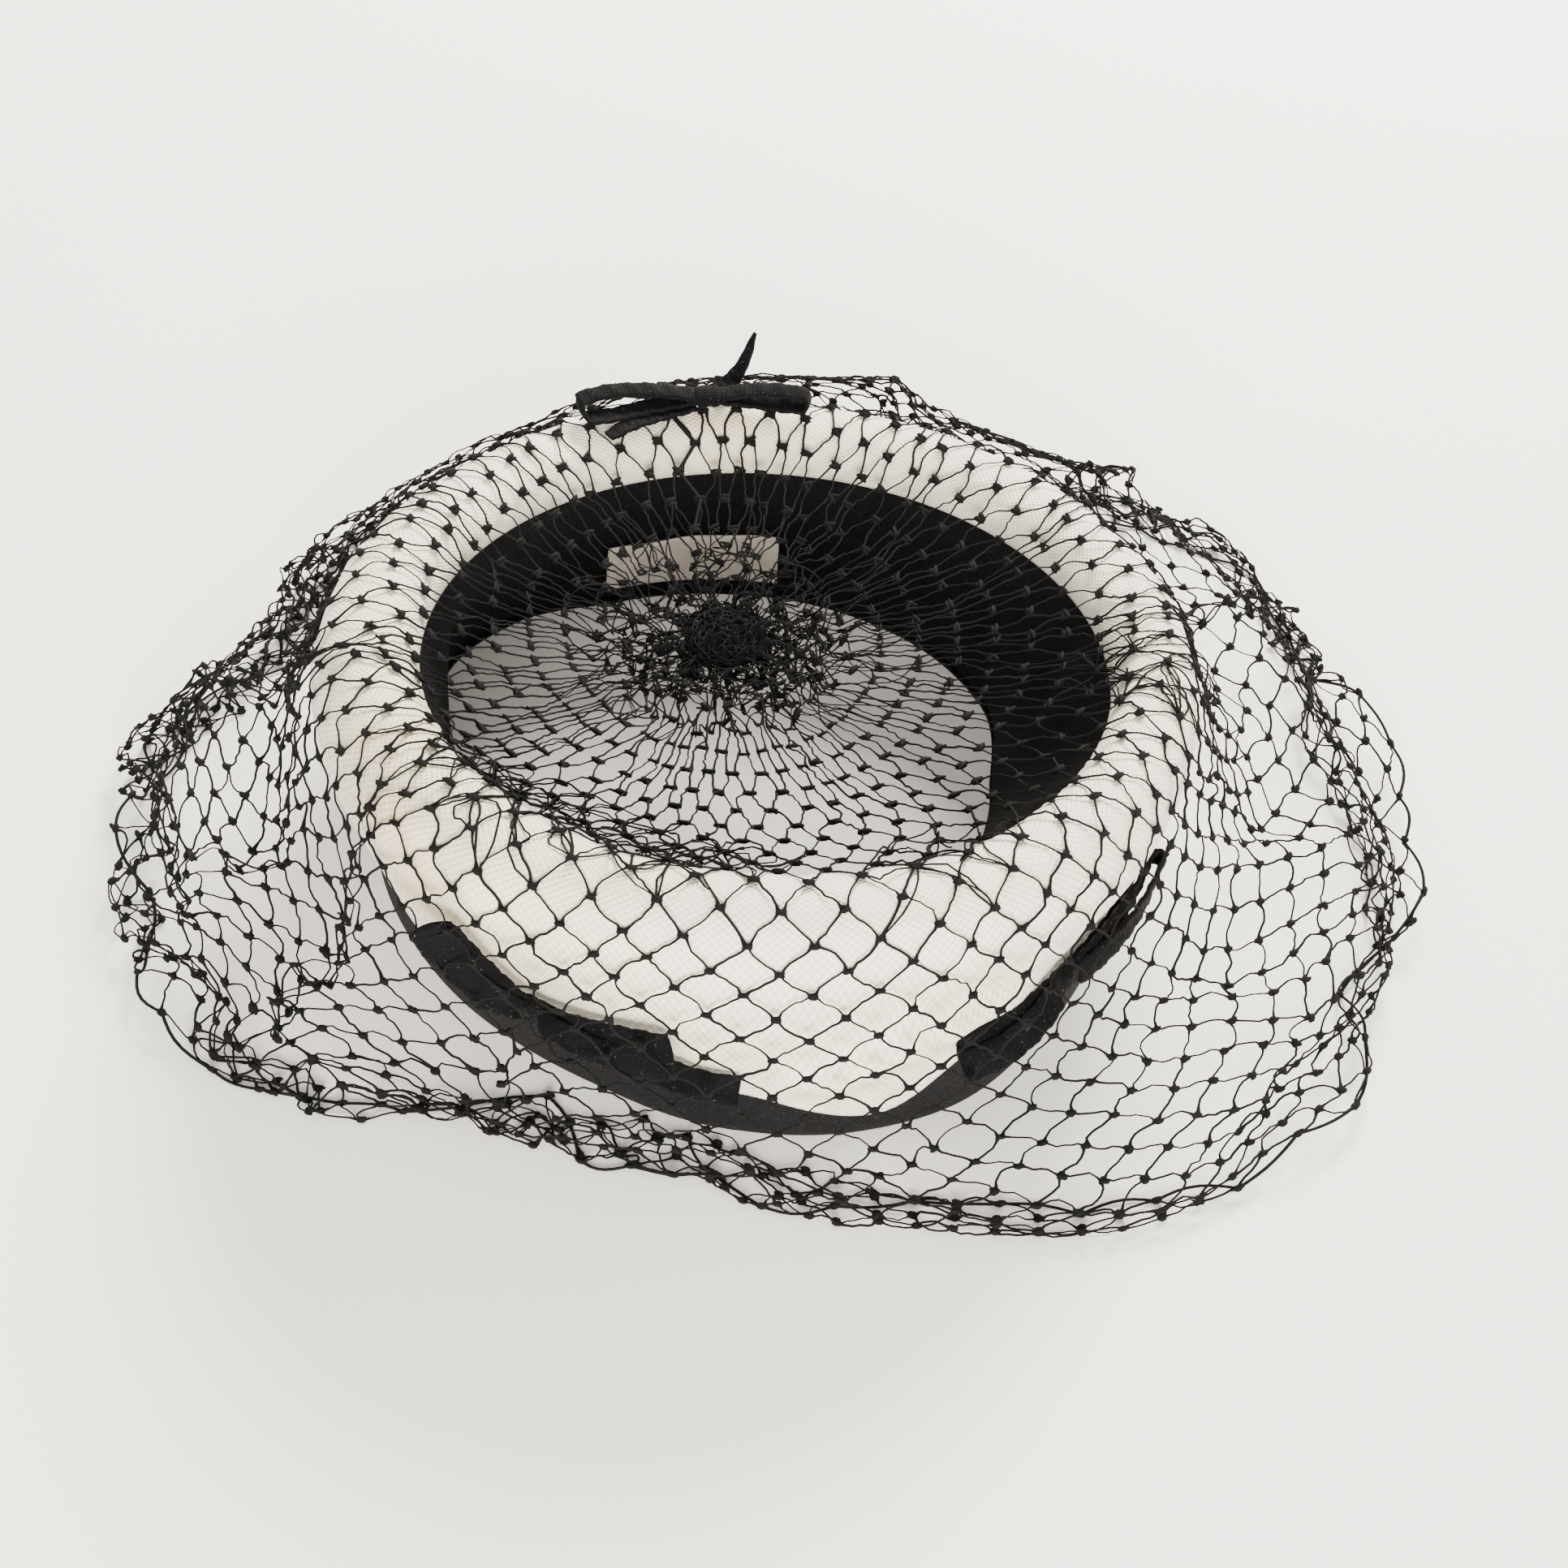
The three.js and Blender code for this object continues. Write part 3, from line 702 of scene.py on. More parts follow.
def bowPlace(bow, spots):
    # spots are (along the ring, up the seat, off the seat) in mm from the knot
    run, rise, off = np.asarray(spots, float).T
    angle = bow["angle"] + np.degrees(run / (ring["lipRadius"] + ring["rollWidth"]))
    if bow.get("onTop"):
        wide = rollOut(angle)
        out = ring["lipRadius"] + 0.54 * wide - rise
        up = lipZ(angle) + ring["rollRise"] + ribbon["rest"]
        return polar(angle, out, up + ribbon["gap"] + off)
    up = bow["up"] + rise
    return polar(angle, wallOut(angle, up) + ribbon["gap"] + off, up)


def ribbonPath(facts):
    # middle line of a ribbon from its knot, as (reach, off) points and a width share
    length = math.hypot(facts["run"], facts["rise"]) * ribbon["span"]
    start = ribbon["knot"][0] / 2 - ribbon["underKnot"]
    low = ribbon["room"] / 2
    low += ribbon["width"] / 2 * math.sin(math.radians(facts.get("lean", 0)))
    if not facts.get("loop"):
        shares = np.linspace(0, 1, 7)
        wave = 0.5 * np.sin(shares * 7.0 + length)
        off = low + 0.3 + facts.get("lift", 0) * ribbon["span"] * shares ** 3 + wave * shares
        taper = 1 + (facts.get("tip", 1) - 1) * shares ** 3
        return np.stack([start + (length - start) * shares, off, taper], -1)
    low += ribbon["lap"] if facts.get("over") else 0
    turn, end = ribbon["turn"], length - ribbon["turn"]
    sides = np.linspace(0, 1, 6)
    swell = ribbon["puff"] * np.sin(sides * math.pi)
    reach, whole = start + (end - start) * sides, 1 + 0 * sides
    out = np.stack([reach, low - 0.25 * swell, whole], -1)
    back = np.stack([reach, low + 2 * turn + swell - (1 - sides) * turn, whole], -1)
    bend = np.radians([-60, -20, 20, 60])
    end = np.stack([end + turn * np.cos(bend), low + turn + turn * np.sin(bend), 1 + 0 * bend], -1)
    return np.concatenate([out, end, back[::-1]])


def ribbonMesh(bow, facts):
    path = ribbonPath(facts)
    way = np.array([facts["run"], facts["rise"]])
    way /= np.linalg.norm(way)
    lean = math.radians(facts.get("lean", 0))
    bm = bmesh.new()
    bmesh.ops.create_grid(bm, x_segments=8 * len(path), y_segments=8, size=0.5, calc_uvs=False)
    flat = flatSpots(bm)
    share, side = flat[:, 0] + 0.5, flat[:, 1] * 2
    paths = np.broadcast_to(path, (len(share), *path.shape))
    reach, off, taper = smoothAlong(paths, share).T
    ahead = heading(paths, share)
    # the ribbon cups a little, and one side of a spread loop swings away from the other
    half = ribbon["width"] / 2 * bow.get("slim", 1) * facts.get("slim", 1) * taper * side
    swing = facts.get("spread", 0) * (reach - path[0, 0]) * np.clip((share - 0.5) * 4, -1, 1) * 0.5
    wrinkle = 0.16 * np.sin(reach * 1.1 + side * 1.5) + 0.1 * np.sin(reach * 2.7 - side * 2.2)
    lift = ribbon["cup"] * (side ** 2 - 0.3) + wrinkle
    run = reach * way[0] - half * way[1] * math.cos(lean) - ahead[:, 1] * lift * way[0] - swing * way[1]
    rise = reach * way[1] + half * way[0] * math.cos(lean) - ahead[:, 1] * lift * way[1] + swing * way[0]
    rise = rise - facts.get("sag", 0) * ribbon["span"] * np.sin(share * math.pi)
    up = off - half * math.sin(lean) * math.copysign(1, way[0]) + ahead[:, 0] * lift
    length = float(np.linalg.norm(np.diff(path[:, :2], axis=0), axis=1).sum())
    layWeave(bm, lambda spot: (spot.x * length * mm, spot.y * ribbon["width"] * mm))
    moveTo(bm, bowPlace(bow, np.stack([run, rise, np.maximum(up, ribbon["wall"] / 2)], -1)))
    return bm


def knotMesh(bow):
    # a ribbon wound once round the middle of the bow, drawn in at its sides
    length, height, depth = ribbon["knot"]
    height *= bow.get("slim", 1)
    bm = bmesh.new()
    bmesh.ops.create_grid(bm, x_segments=13, y_segments=28, size=0.5, calc_uvs=False)
    layWeave(bm, lambda spot: (spot.y * ribbon["knotGirth"], spot.x * length * mm))
    flat = flatSpots(bm)
    share, bend = flat[:, 0] * 2, flat[:, 1] * math.tau
    girth = np.sqrt(np.clip(1.04 - 0.78 * share ** 4, 0, 2)) * (1 + 0.05 * np.sin(5 * share + 2 * bend))
    girth += 0.045 * np.sin(9 * share + np.sin(bend)) * (1 - share ** 2)
    spots = np.stack([share * length * 0.43, girth * height / 2 * np.cos(bend),
                      depth / 2 * (1 + girth * np.sin(bend)) + 0.3], -1)
    moveTo(bm, bowPlace(bow, spots))
    bmesh.ops.remove_doubles(bm, verts=bm.verts, dist=0.00001)
    return bm


def velvetFinish():
    finish = Finish("blackVelvet", **{
        "Sheen Weight": 0.02, "Sheen Roughness": 0.35, "Specular IOR Level": 0.06})
    x, y = finish.cloth()
    ribs = (x * (math.tau / ribbon["rib"])).sine()
    nap = finish.noise(0.0004, 1.0)
    worn = (finish.noise(0.008) * 1.8 - 0.6).clamped()
    # edge is a painted highlight: it lightens the ribbon along both its sides
    edge = ((y * y) * (4 / (ribbon["width"] * mm) ** 2) * 2.2 - 1.5).clamped()
    lint = (finish.noise(0.0007, 1.0) * 6 - 4.1).clamped()
    # the colour takes real wear from worn and the painted edge highlight from edge
    colour = finish.mix(worn * 0.5 + edge * 0.6, rgb(*ribbon["colour"]), rgb(*ribbon["edge"]))
    colour = finish.mix(lint * 0.4, colour, rgb(*ribbon["lint"]))
    return finish.finish(colour, 0.85 - worn * 0.1, ribs * 0.3 + nap, depth=0.00025, strength=0.7)


def makeBows():
    velvet = velvetFinish()
    for bow in bows:
        name = bow["name"] + "Knot"
        newPiece(name, toMesh(knotMesh(bow), name), velvet, [bow["node"] + "_knot"])
        for facts in bow["pieces"]:
            words = facts["node"].split("_")
            name = bow["name"] + "".join(word.capitalize() for word in words)
            mesh = toMesh(ribbonMesh(bow, facts), name)
            piece = newPiece(name, mesh, velvet, [bow["node"] + "_" + facts["node"]])
            thicken(piece, ribbon["wall"])
            piece.modifiers["wall"].offset = 0


makeBows()
print("bows made")


# veil net
net = {
    "rows": 41,
    "thread": 9.8,
    "shortest": 0.45,
    "wire": 0.26,
    "selvage": 0.42,
    "knots": (0.86, 0.72),
    "tilt": 0.35,
    "seam": 0.262,
    "seamRows": (9, 28),
    "seamWire": 0.6,
    "lift": 1.2,
    "clear": 0.9,
    "gather": (-6.0, 21.0, 46.0),
    "gatherRadius": 3.0,
    "gatherSize": (9.8, 9.8, 4.2),
    "clump": 320,
    "core": 14,
    "reach": 160.0,
    "rounds": 240,
    "hold": 0.12,
    "pull": 0.012,
    "sink": 0.05,
    "ground": 0.7,
    "bowRoom": 2.0,
    "stray": 1.0,
    "slip": 1.5,
    "kink": 0.14,
    "seed": 11,
    "colour": (0.004, 0.004, 0.0045),
    "dust": (0.009, 0.009, 0.009),
}
# tangled parts of the net: half is half their width in degrees, span in columns
tangles = tableOf(
    "angle half rows count span slack thick",
    (0, 181, (1, 9), 380, 3, 1.0, (0.6, 0.9)),
    (341, 7, (15, 18), 44, 1, 0.8, (0.8, 1.1)),
    (206, 8, (14, 17), 34, 1, 0.7, (0.8, 1.1)),
    (224, 11, (14, 18), 60, 1, 0.8, (0.8, 1.1)),
    (245, 11, (15, 18), 46, 1, 0.8, (0.8, 1.1)),
    (286, 8, (16, 19), 26, 1, 0.7, (0.8, 1.1)),
)
# slow waves that draw the columns aside: count round the ring, drift per mm, phase, size
warps = [(5, 0.05, 0.3, 0.9), (9, -0.08, 1.9, 0.7), (14, 0.11, 4.0, 0.5), (23, -0.15, 2.2, 0.35)]
# length of the first threads out from the gather
crumple = (2.0, 2.0, 2.4, 2.8, 3.4, 4.0, 4.8, 5.8, 7.4)
# reach is a share of net reach, puff of lipHeight; wave lifts and dips the billow in mm;
# wide is the width of a mesh round the ring in degrees; tuck folds that much net back in mm
hemTable = tableOf(
    "angle reach puff wave wide tuck",
    (0, 1.09, 0.42, 6, 5.4, 9),
    (20, 1.08, 0.34, 7, 5.6, 5),
    (34, 1.10, 0.42, 6, 5.8, 3),
    (46, 1.03, 0.44, 4, 5.8, 3),
    (62, 1.08, 0.56, 3, 5.9, 0),
    (88, 1.06, 0.52, 2, 5.9, 0),
    (112, 1.0, 0.4, 3, 5.8, 0),
    (132, 0.98, 0.46, 4, 5.5, 3),
    (148, 0.94, 0.4, 5, 5.2, 4),
    (166, 1.05, 0.5, 7, 4.8, 8),
    (184, 1.04, 0.46, 8, 4.8, 9),
    (204, 0.96, 0.34, 6, 5.3, 7),
    (226, 0.77, 0.28, 3, 6.6, 2),
    (248, 0.71, 0.26, 2, 7.5, 0),
    (268, 0.79, 0.24, 2, 7.5, 0),
    (290, 0.945, 0.26, 2, 7.2, 0),
    (314, 1.08, 0.34, 3, 6.4, 7),
    (336, 1.18, 0.4, 5, 5.8, 11),
    (348, 1.14, 0.34, 6, 5.5, 11),
)
# a pleat turns the net over itself along a line outwards; lift is its ridge in mm
pleats = tableOf(
    "angle wide turn lift from to",
    (178, 7, 1.9, 7, 70, 150),
    (356, 7, 1.8, 6, 85, 150),
    (204, 9, 2.2, 8, 110, 240),
    (186, 7, 2.0, 5, 120, 240),
    (162, 8, 2.1, 6, 110, 240),
    (138, 8, 1.8, 5, 110, 230),
    (228, 7, 1.8, 4, 150, 240),
    (14, 8, 2.1, 7, 115, 240),
    (38, 8, 2.1, 7, 110, 240),
    (64, 7, 1.8, 4, 115, 240),
    (340, 6, 1.7, 4, 130, 200),
    (318, 6, 1.4, 3, 150, 240),
    (300, 5, 1.3, 3, 165, 240),
)
pathStep = 0.5  # degrees from one path to the next
pathLength = 340  # mm


def ringPlace(angle, out, up):
    turn = np.radians(angle)
    return np.stack([out * np.cos(turn), out * np.sin(turn), up + 0 * out], -1)


def netPaths():
    # the way from the gather over the ring to the hem and back under it, for every half degree
    angle = np.arange(0, 360, pathStep)
    lip, wide = lipZ(angle), rollOut(angle)
    rise, radius = ring["rollRise"], ring["lipRadius"]
    reach = net["reach"] * around(hemTable, "reach", angle)
    puff = ring["lipHeight"] * around(hemTable, "puff", angle)
    wave, tuck = around(hemTable, "wave", angle), around(hemTable, "tuck", angle)
    turn = np.radians(angle)
    sway = 1.5 * (np.sin(3 * turn + 1.0) + np.sin(5 * turn + 2.2))
    edge = ringPlace(angle, radius + 0.4 * wide, lip + rise + net["lift"])
    gather = np.array(net["gather"]) + ringPlace(angle, net["gatherRadius"] + 0 * angle, 0)
    places = []
    for share in np.linspace(0, 1, 40):
        place = gather + (edge - gather) * share
        place[:, 2] = gather[:, 2] + (edge - gather)[:, 2] * share ** 2.3
        places.append(place)
    side = radius + wide + 4.0
    foot = reach - side
    line = [
        (radius + 0.4 * wide, lip + rise + net["lift"]),
        (radius + 0.7 * wide, lip + 0.92 * rise + net["lift"]),
        (radius + wide + 0.8, lip + 0.45 * rise + 0.5 * net["lift"]),
        (side, lip - 0.6 * rise),
        (side + 0.10 * foot, 0.55 * lip + 0.45 * puff - 0.4 * rise - wave),
        (side + 0.26 * foot, 0.85 * puff - 0.6 * wave + sway),
        (side + 0.46 * foot, puff + 0.5 * wave),
        (side + 0.60 * foot + 0.3 * tuck, 0.9 * puff + 0.4 * wave - sway),
        (side + 0.64 * foot + 0.4 * tuck, (0.8 - 0.05 * tuck) * puff),
        (side + 0.64 * foot - 0.6 * tuck, (0.8 - 0.07 * tuck) * puff),
        (side + 0.70 * foot + 0.2 * tuck, (0.7 - 0.035 * tuck) * puff + 0.3 * tuck),
        (side + 0.90 * foot, 0.5 * puff),
    ]
    # past the hem line the net lies folded to and fro on the ground
    folds = [(0, 0.16 * puff + 1), (-1.5, 1.4), (-17, 2.0), (-18, 1.2), (-4, 1.4), (-2.5, 0.8), (-24, 1.6),
             (-25, 0.8), (-8, 1.0), (-7, 0.7), (-40, 0.7)]
    line += [(reach + out, up + 0 * reach) for out, up in folds]
    line = lineOf(line)
    for share in np.linspace(0, 1, 200)[1:]:
        point = smoothAlong(line, share + 0 * angle)
        places.append(ringPlace(angle, point[:, 0], np.maximum(point[:, 1], net["ground"])))
    places = np.stack(places, 1)
    length = np.cumsum(np.linalg.norm(np.diff(places, axis=1), axis=2), 1)
    length = np.concatenate([np.zeros((len(angle), 1)), length], 1)
    steps = np.arange(pathLength)
    return np.stack([np.stack([np.interp(steps, length[i], places[i, :, k]) for k in range(3)], -1)
                     for i in range(len(angle))])


def onPath(paths, angle, down):
    turn = np.mod(angle, 360) / pathStep
    first = np.floor(turn).astype(int) % len(paths)
    second = (first + 1) % len(paths)
    lean = (turn - np.floor(turn))[..., None]
    down = np.clip(down, 0, paths.shape[1] - 1.001)
    k = np.floor(down).astype(int)
    part = (down - k)[..., None]
    ends = [paths[side, k] * (1 - part) + paths[side, k + 1] * part for side in (first, second)]
    return ends[0] * (1 - lean) + ends[1] * lean


def pleated(paths, angle, down):
    bent = np.array(angle, float)
    lift = np.zeros_like(bent)
    for pleat in pleats:
        off = turnTo(angle, pleat["angle"])
        ramp = np.clip((down - pleat["from"]) / 30, 0, 1) * np.clip((pleat["to"] - down) / 30, 0, 1)
        bell = np.exp(-(off / pleat["wide"]) ** 2) * ramp
        bent -= pleat["turn"] * off * bell
        lift += pleat["lift"] * bell
    place = onPath(paths, bent, down)
    place[..., 2] += lift
    return place


def layNet(rng):
    # rows of knots outwards from the gather, each about one thread from the row before
    paths = netPaths()
    fine = np.arange(0, 360.01, 0.25)
    density = 1 / around(hemTable, "wide", fine)
    count = int(round(np.sum(density) * 0.25))
    share = np.cumsum(density)
    share = (share - share[0]) / (share[-1] - share[0])
    angles = np.interp(np.arange(2 * count) / (2 * count), share, fine)
    half = np.mod(np.roll(angles, -1) - np.roll(angles, 1), 360) / 2
    down = np.zeros(2 * count)
    rows = []
    for row in range(net["rows"] + 1):
        pick = np.arange(row % 2, 2 * count, 2)
        rows.append(np.stack([angles[pick], down[pick]], -1))
        wide = pleated(paths, angles + half, down) - pleated(paths, angles - half, down)
        wide = np.linalg.norm(wide, axis=1)
        step = np.sqrt(np.maximum(net["thread"] ** 2 - (wide / 2) ** 2, (net["thread"] / 2) ** 2))
        if row < len(crumple):
            step = np.minimum(step, crumple[row])
        for _ in range(3):
            step = (np.roll(step, 1) + 2 * step + np.roll(step, -1)) / 4
        down = down + step
    flat = np.array(rows)
    angle, down = flat[..., 0], flat[..., 1]
    spread = np.clip((down - 12) / 30, 0.25, 1) * (1 + 0.7 * np.exp(-((down - 60) / 28) ** 2))
    turn, swirl = np.radians(angle), 0.0
    for count, drift, phase, size in warps:
        swirl = swirl + size * np.sin(count * turn + drift * down + phase)
    start = pleated(paths, angle + (rng.normal(size=down.shape) * net["stray"] + swirl) * spread,
                    down + rng.normal(size=down.shape) * net["slip"] * spread + swirl)
    near = np.exp(-(np.maximum(down - 20, 0) / 11) ** 2)[..., None]
    start += rng.normal(size=start.shape) * near * np.array([2.3, 2.3, 2.0])
    return start


def ringSections():
    # closed outline of the ring at every half degree, for the net to lie on
    angle = np.arange(0, 360, pathStep)
    cover = []
    for share in np.linspace(0.04, 1, 34):
        place = satinSurface(angle, share + 0 * angle) / mm - np.array([*ring["centre"], 0])
        cover.append(np.stack([np.hypot(place[:, 0], place[:, 1]), place[:, 2]], -1))
    base = lineOf([(baseOut(angle) + 2, 0 * angle), (headOut(angle), 0 * angle)])
    return np.concatenate([np.stack(cover, 1), base, liningLine(angle)[:, ::-1]], 1)


def pushOut(places, sections, clear):
    out = np.hypot(places[:, 0], places[:, 1])
    turn = np.mod(np.degrees(np.arctan2(places[:, 1], places[:, 0])), 360)
    start = sections[np.round(turn / pathStep).astype(int) % len(sections)]
    side = np.roll(start, -1, 1) - start
    point = np.stack([out, places[:, 2]], -1)[:, None]
    share = np.clip(((point - start) * side).sum(-1) / ((side ** 2).sum(-1) + 1e-9), 0, 1)
    near = start + side * share[..., None]
    gap = np.linalg.norm(point - near, axis=-1)
    row, best = np.arange(len(places)), gap.argmin(1)
    gap, near = gap[row, best], near[row, best]
    above = (start[..., 1] > point[..., 1]) != (start[..., 1] + side[..., 1] > point[..., 1])
    slope = np.where(np.abs(side[..., 1]) < 1e-9, 1e-9, side[..., 1])
    cut = start[..., 0] + (point[..., 1] - start[..., 1]) * side[..., 0] / slope
    inside = (above & (point[..., 0] < cut)).sum(1) % 2 == 1
    way = (point[:, 0] - near) / (gap[:, None] + 1e-9) * np.where(inside, -1, 1)[:, None]
    move = np.where(inside, gap + clear, np.maximum(clear - gap, 0))[:, None] * way
    places[:, :2] += places[:, :2] / (out[:, None] + 1e-9) * move[:, :1]
    places[:, 2] += move[:, 1]
    return places


def netLinks(rows, count):
    # each knot's two threads down: (row, column) of both ends, and which side they leave on
    links = []
    for parity, shifts in ((0, (0, -1)), (1, (1, 0))):
        upper = np.arange(parity, rows - 1, 2)[:, None] + np.zeros((1, count), int)
        column = np.arange(count)[None] + 0 * upper
        for shift, side in zip(shifts, (1, -1)):
            links.append(((upper, column), (upper + 1, (column + shift) % count), side))
    return links


def settleNet(start, bowSpots):
    # threads keep their length while the net sinks onto the satin, the bows and the ground
    rows, count = start.shape[:2]
    sections, links = ringSections(), netLinks(rows, count)
    longest = net["thread"]
    shortest = np.full((rows, 1, 1), net["shortest"] * longest)
    shortest[:len(crumple)] = 0.3
    places = start.copy()
    for turn in range(net["rounds"]):
        places += (start - places) * (net["hold"] * (1 - turn / net["rounds"]) + net["pull"])
        places[1:, :, 2] -= net["sink"]
        for _ in range(3):
            for upper, lower, _ in links:
                gap = places[lower] - places[upper]
                size = np.linalg.norm(gap, axis=-1, keepdims=True) + 1e-9
                wrong = np.maximum(size - longest, 0) + 0.4 * np.minimum(size - shortest[upper[0][:, 0]], 0)
                places[upper] += gap / size * wrong / 2
                places[lower] -= gap / size * wrong / 2
        flat = places.reshape(-1, 3)
        if turn % 3 == 2 or turn > net["rounds"] - 12:
            flat = pushOut(flat, sections, net["clear"])
            off = flat[:, None] - bowSpots[None]
            size = np.linalg.norm(off, axis=-1)
            near = size.argmin(1)
            row = np.arange(len(flat))
            push = np.maximum(net["bowRoom"] - size[row, near], 0) / (size[row, near] + 1e-9)
            flat = flat + off[row, near] * push[:, None]
        flat[:, 2] = np.maximum(flat[:, 2], net["ground"])
        places = flat.reshape(rows, count, 3)
        places[0] = start[0]
    return places


def frontBowSpots():
    # places along the front bows, in mm from the ring's axis
    spots = []
    for bow in bows:
        if bow.get("onTop"):
            continue
        for facts in bow["pieces"]:
            path = ribbonPath(facts)
            way = np.array([facts["run"], facts["rise"]]) / math.hypot(facts["run"], facts["rise"])
            share = np.linspace(0, 1, 24)
            reach, off = smoothAlong(np.broadcast_to(path, (len(share), *path.shape)), share).T[:2]
            for side in (-2.4, 0, 2.4):
                spot = (reach * way[0] - side * way[1], reach * way[1] + side * way[0], off)
                spots.append(bowPlace(bow, np.stack(spot, -1)))
        spots.append(bowPlace(bow, [(x, y, 4.0) for x in (-3, 0, 3) for y in (-3, 0, 3)]))
    return np.concatenate(spots) / mm - np.array([*ring["centre"], 0])


def strandMesh(name, strands):
    # strands are (points in mm from the ring's axis, radii in mm), each with few sides
    curve = bpy.data.curves.new(name, "CURVE")
    curve.dimensions = "3D"
    curve.bevel_depth = mm
    curve.bevel_resolution = 0
    curve.use_fill_caps = True
    for points, radii in strands:
        spline = curve.splines.new("POLY")
        spline.points.add(len(points) - 1)
        places = np.ones((len(points), 4))
        places[:, :3] = (points + np.array([*ring["centre"], 0])) * mm
        spline.points.foreach_set("co", places.ravel())
        spline.points.foreach_set("radius", radii)
    holder = bpy.data.objects.new(name, curve)
    mesh = bpy.data.meshes.new_from_object(holder)
    bpy.data.objects.remove(holder)
    bpy.data.curves.remove(curve)
    mesh.name = name
    for face in mesh.polygons:
        face.use_smooth = True
    return mesh


def netStrands(places, rng):
    # threads and knots row by row: one list of strands for each row of knots
    rows, count = places.shape[:2]
    sections = ringSections()
    beside = unit(np.roll(places, -1, 1) - np.roll(places, 1, 1))
    down = np.zeros_like(places)
    down[1:-1] = places[2:] - places[:-2]
    down[0], down[-1] = places[1] - places[0], places[-1] - places[-2]
    down = unit(down)
    mesh = np.linalg.norm(np.roll(places, -1, 1) - places, axis=-1)
    bar = np.minimum(np.clip(1.5 - 0.075 * mesh, 0.45, 1.25), 0.24 * mesh)[..., None]
    strands = [[] for _ in range(rows)]
    shares = np.linspace(0, 1, 7)
    for upper, lower, side in netLinks(rows, count):
        first = places[upper] + beside[upper] * bar[upper] * side
        second = places[lower] - beside[lower] * bar[lower] * side
        chord = second - first
        size = np.linalg.norm(chord, axis=-1, keepdims=True)
        leave = (down[upper] * 0.6 + unit(chord) * 0.5) * size
        arrive = (down[lower] * 0.6 + unit(chord) * 0.5) * size
        line = cubic(shares[:, None], *(value[..., None, :] for value in (first, leave, second, arrive)))
        slack = np.sqrt(np.maximum(net["thread"] ** 2 * 0.9 - size ** 2, 0)) * 0.3
        stray = unit(rng.normal(size=first.shape)) * np.minimum(slack, 2.0)
        stray += rng.normal(size=first.shape) * 0.5
        stray[..., 2] = np.abs(stray[..., 2])
        line = line + stray[..., None, :] * np.sin(shares * math.pi)[:, None]
        line[..., 1:-1, :] += rng.normal(size=line[..., 1:-1, :].shape) * net["kink"]
        line = pushOut(line.reshape(-1, 3), sections, net["wire"] + 0.2).reshape(line.shape)
        line[..., 2] = np.maximum(line[..., 2], 0.4)
        thick = net["wire"] * rng.uniform(0.8, 1.25, size=size.shape) * (1 + 1.0 * (2 * shares - 1) ** 6)
        thick *= np.clip(0.6 + upper[0][..., None] / 30, 0, 1)
        for k, row in enumerate(upper[0][:, 0]):
            strands[row] += list(zip(line[k], thick[k]))
    for row in range(1, rows):
        for i in range(count):
            centre, along, out = places[row, i], beside[row, i], down[row, i]
            near = min(1.0, 0.42 + row / 16)
            reach = (bar[row, i, 0] + 0.2 + 0.08 * min(7.0, mesh[row, i])) * near
            fat = min(1.0, max(0.34, mesh[row, i] / 6.5)) * near
            tilt = rng.normal() * net["tilt"]
            for turn, offset, girth in zip((1, -1), (0.0, rng.uniform(0.3, 0.8)), net["knots"]):
                way = unit(along + out * tilt * turn)
                spots = np.array([-reach, -0.45 * reach, 0.45 * reach, reach])[:, None] * way
                spots = spots + centre + out * offset + np.array([0, 0, 0.25 * (1 - turn)])
                size = girth * fat * rng.uniform(0.8, 1.2)
                strands[row].append((spots, np.array([net["wire"], size, size, net["wire"]])))
    return strands


def tangleStrands(places, facts, rng):
    # slack threads that cross between the knots of one part of the net
    sections = ringSections()
    shares = np.linspace(0, 1, 8)[:, None]
    angles = np.degrees(np.arctan2(places[..., 1], places[..., 0]))
    inside = np.abs(turnTo(angles, facts["angle"])) < facts["half"]
    inside[:facts["rows"][0]] = False
    inside[facts["rows"][1]:] = False
    spots = np.argwhere(inside)
    strands = []
    for row, column in spots[rng.integers(len(spots), size=facts["count"])]:
        first = places[row, column]
        aside = rng.integers(-facts["span"], facts["span"] + 1)
        second = places[row + rng.integers(-1, 3), (column + aside) % places.shape[1]]
        points = first + (second - first) * shares
        slack = rng.normal(size=3) * (0.5 + 0.2 * min(row, 9)) * facts["slack"]
        points += slack * np.sin(shares * math.pi) + rng.normal(size=3) * 0.6 * np.sin(shares * math.tau)
        points += rng.normal(size=points.shape) * 0.2
        points = pushOut(points, sections, net["wire"] + 0.2)
        strands.append((points, np.full(len(shares), net["wire"] * rng.uniform(*facts["thick"]))))
    return strands


def hemStrands(places, rng):
    # the selvage: a thicker thread that swings out in a shallow loop from knot to knot
    row = places[-1]
    following = np.roll(row, -1, 0)
    out = unit(places[-1] - places[-3])
    shares = np.linspace(0, 1, 8)
    strands = []
    for here, there, leave in zip(row, following, out):
        swell = leave * rng.uniform(0.9, 2.6)
        points = here + (there - here) * shares[:, None] + swell * np.sin(shares * math.pi)[:, None]
        points[:, 2] = np.maximum(points[:, 2], 0.5)
        strands.append((points, np.full(8, net["selvage"])))
    return strands


def seamStrands(places):
    # where the net's two edges are drawn together with one thread
    count = places.shape[1]
    column = int(round(count * net["seam"])) % count
    points = [places[row, column] + np.array([0, 0, 0.5]) for row in range(*net["seamRows"])]
    return [(np.array(points), np.full(len(points), net["seamWire"]))]


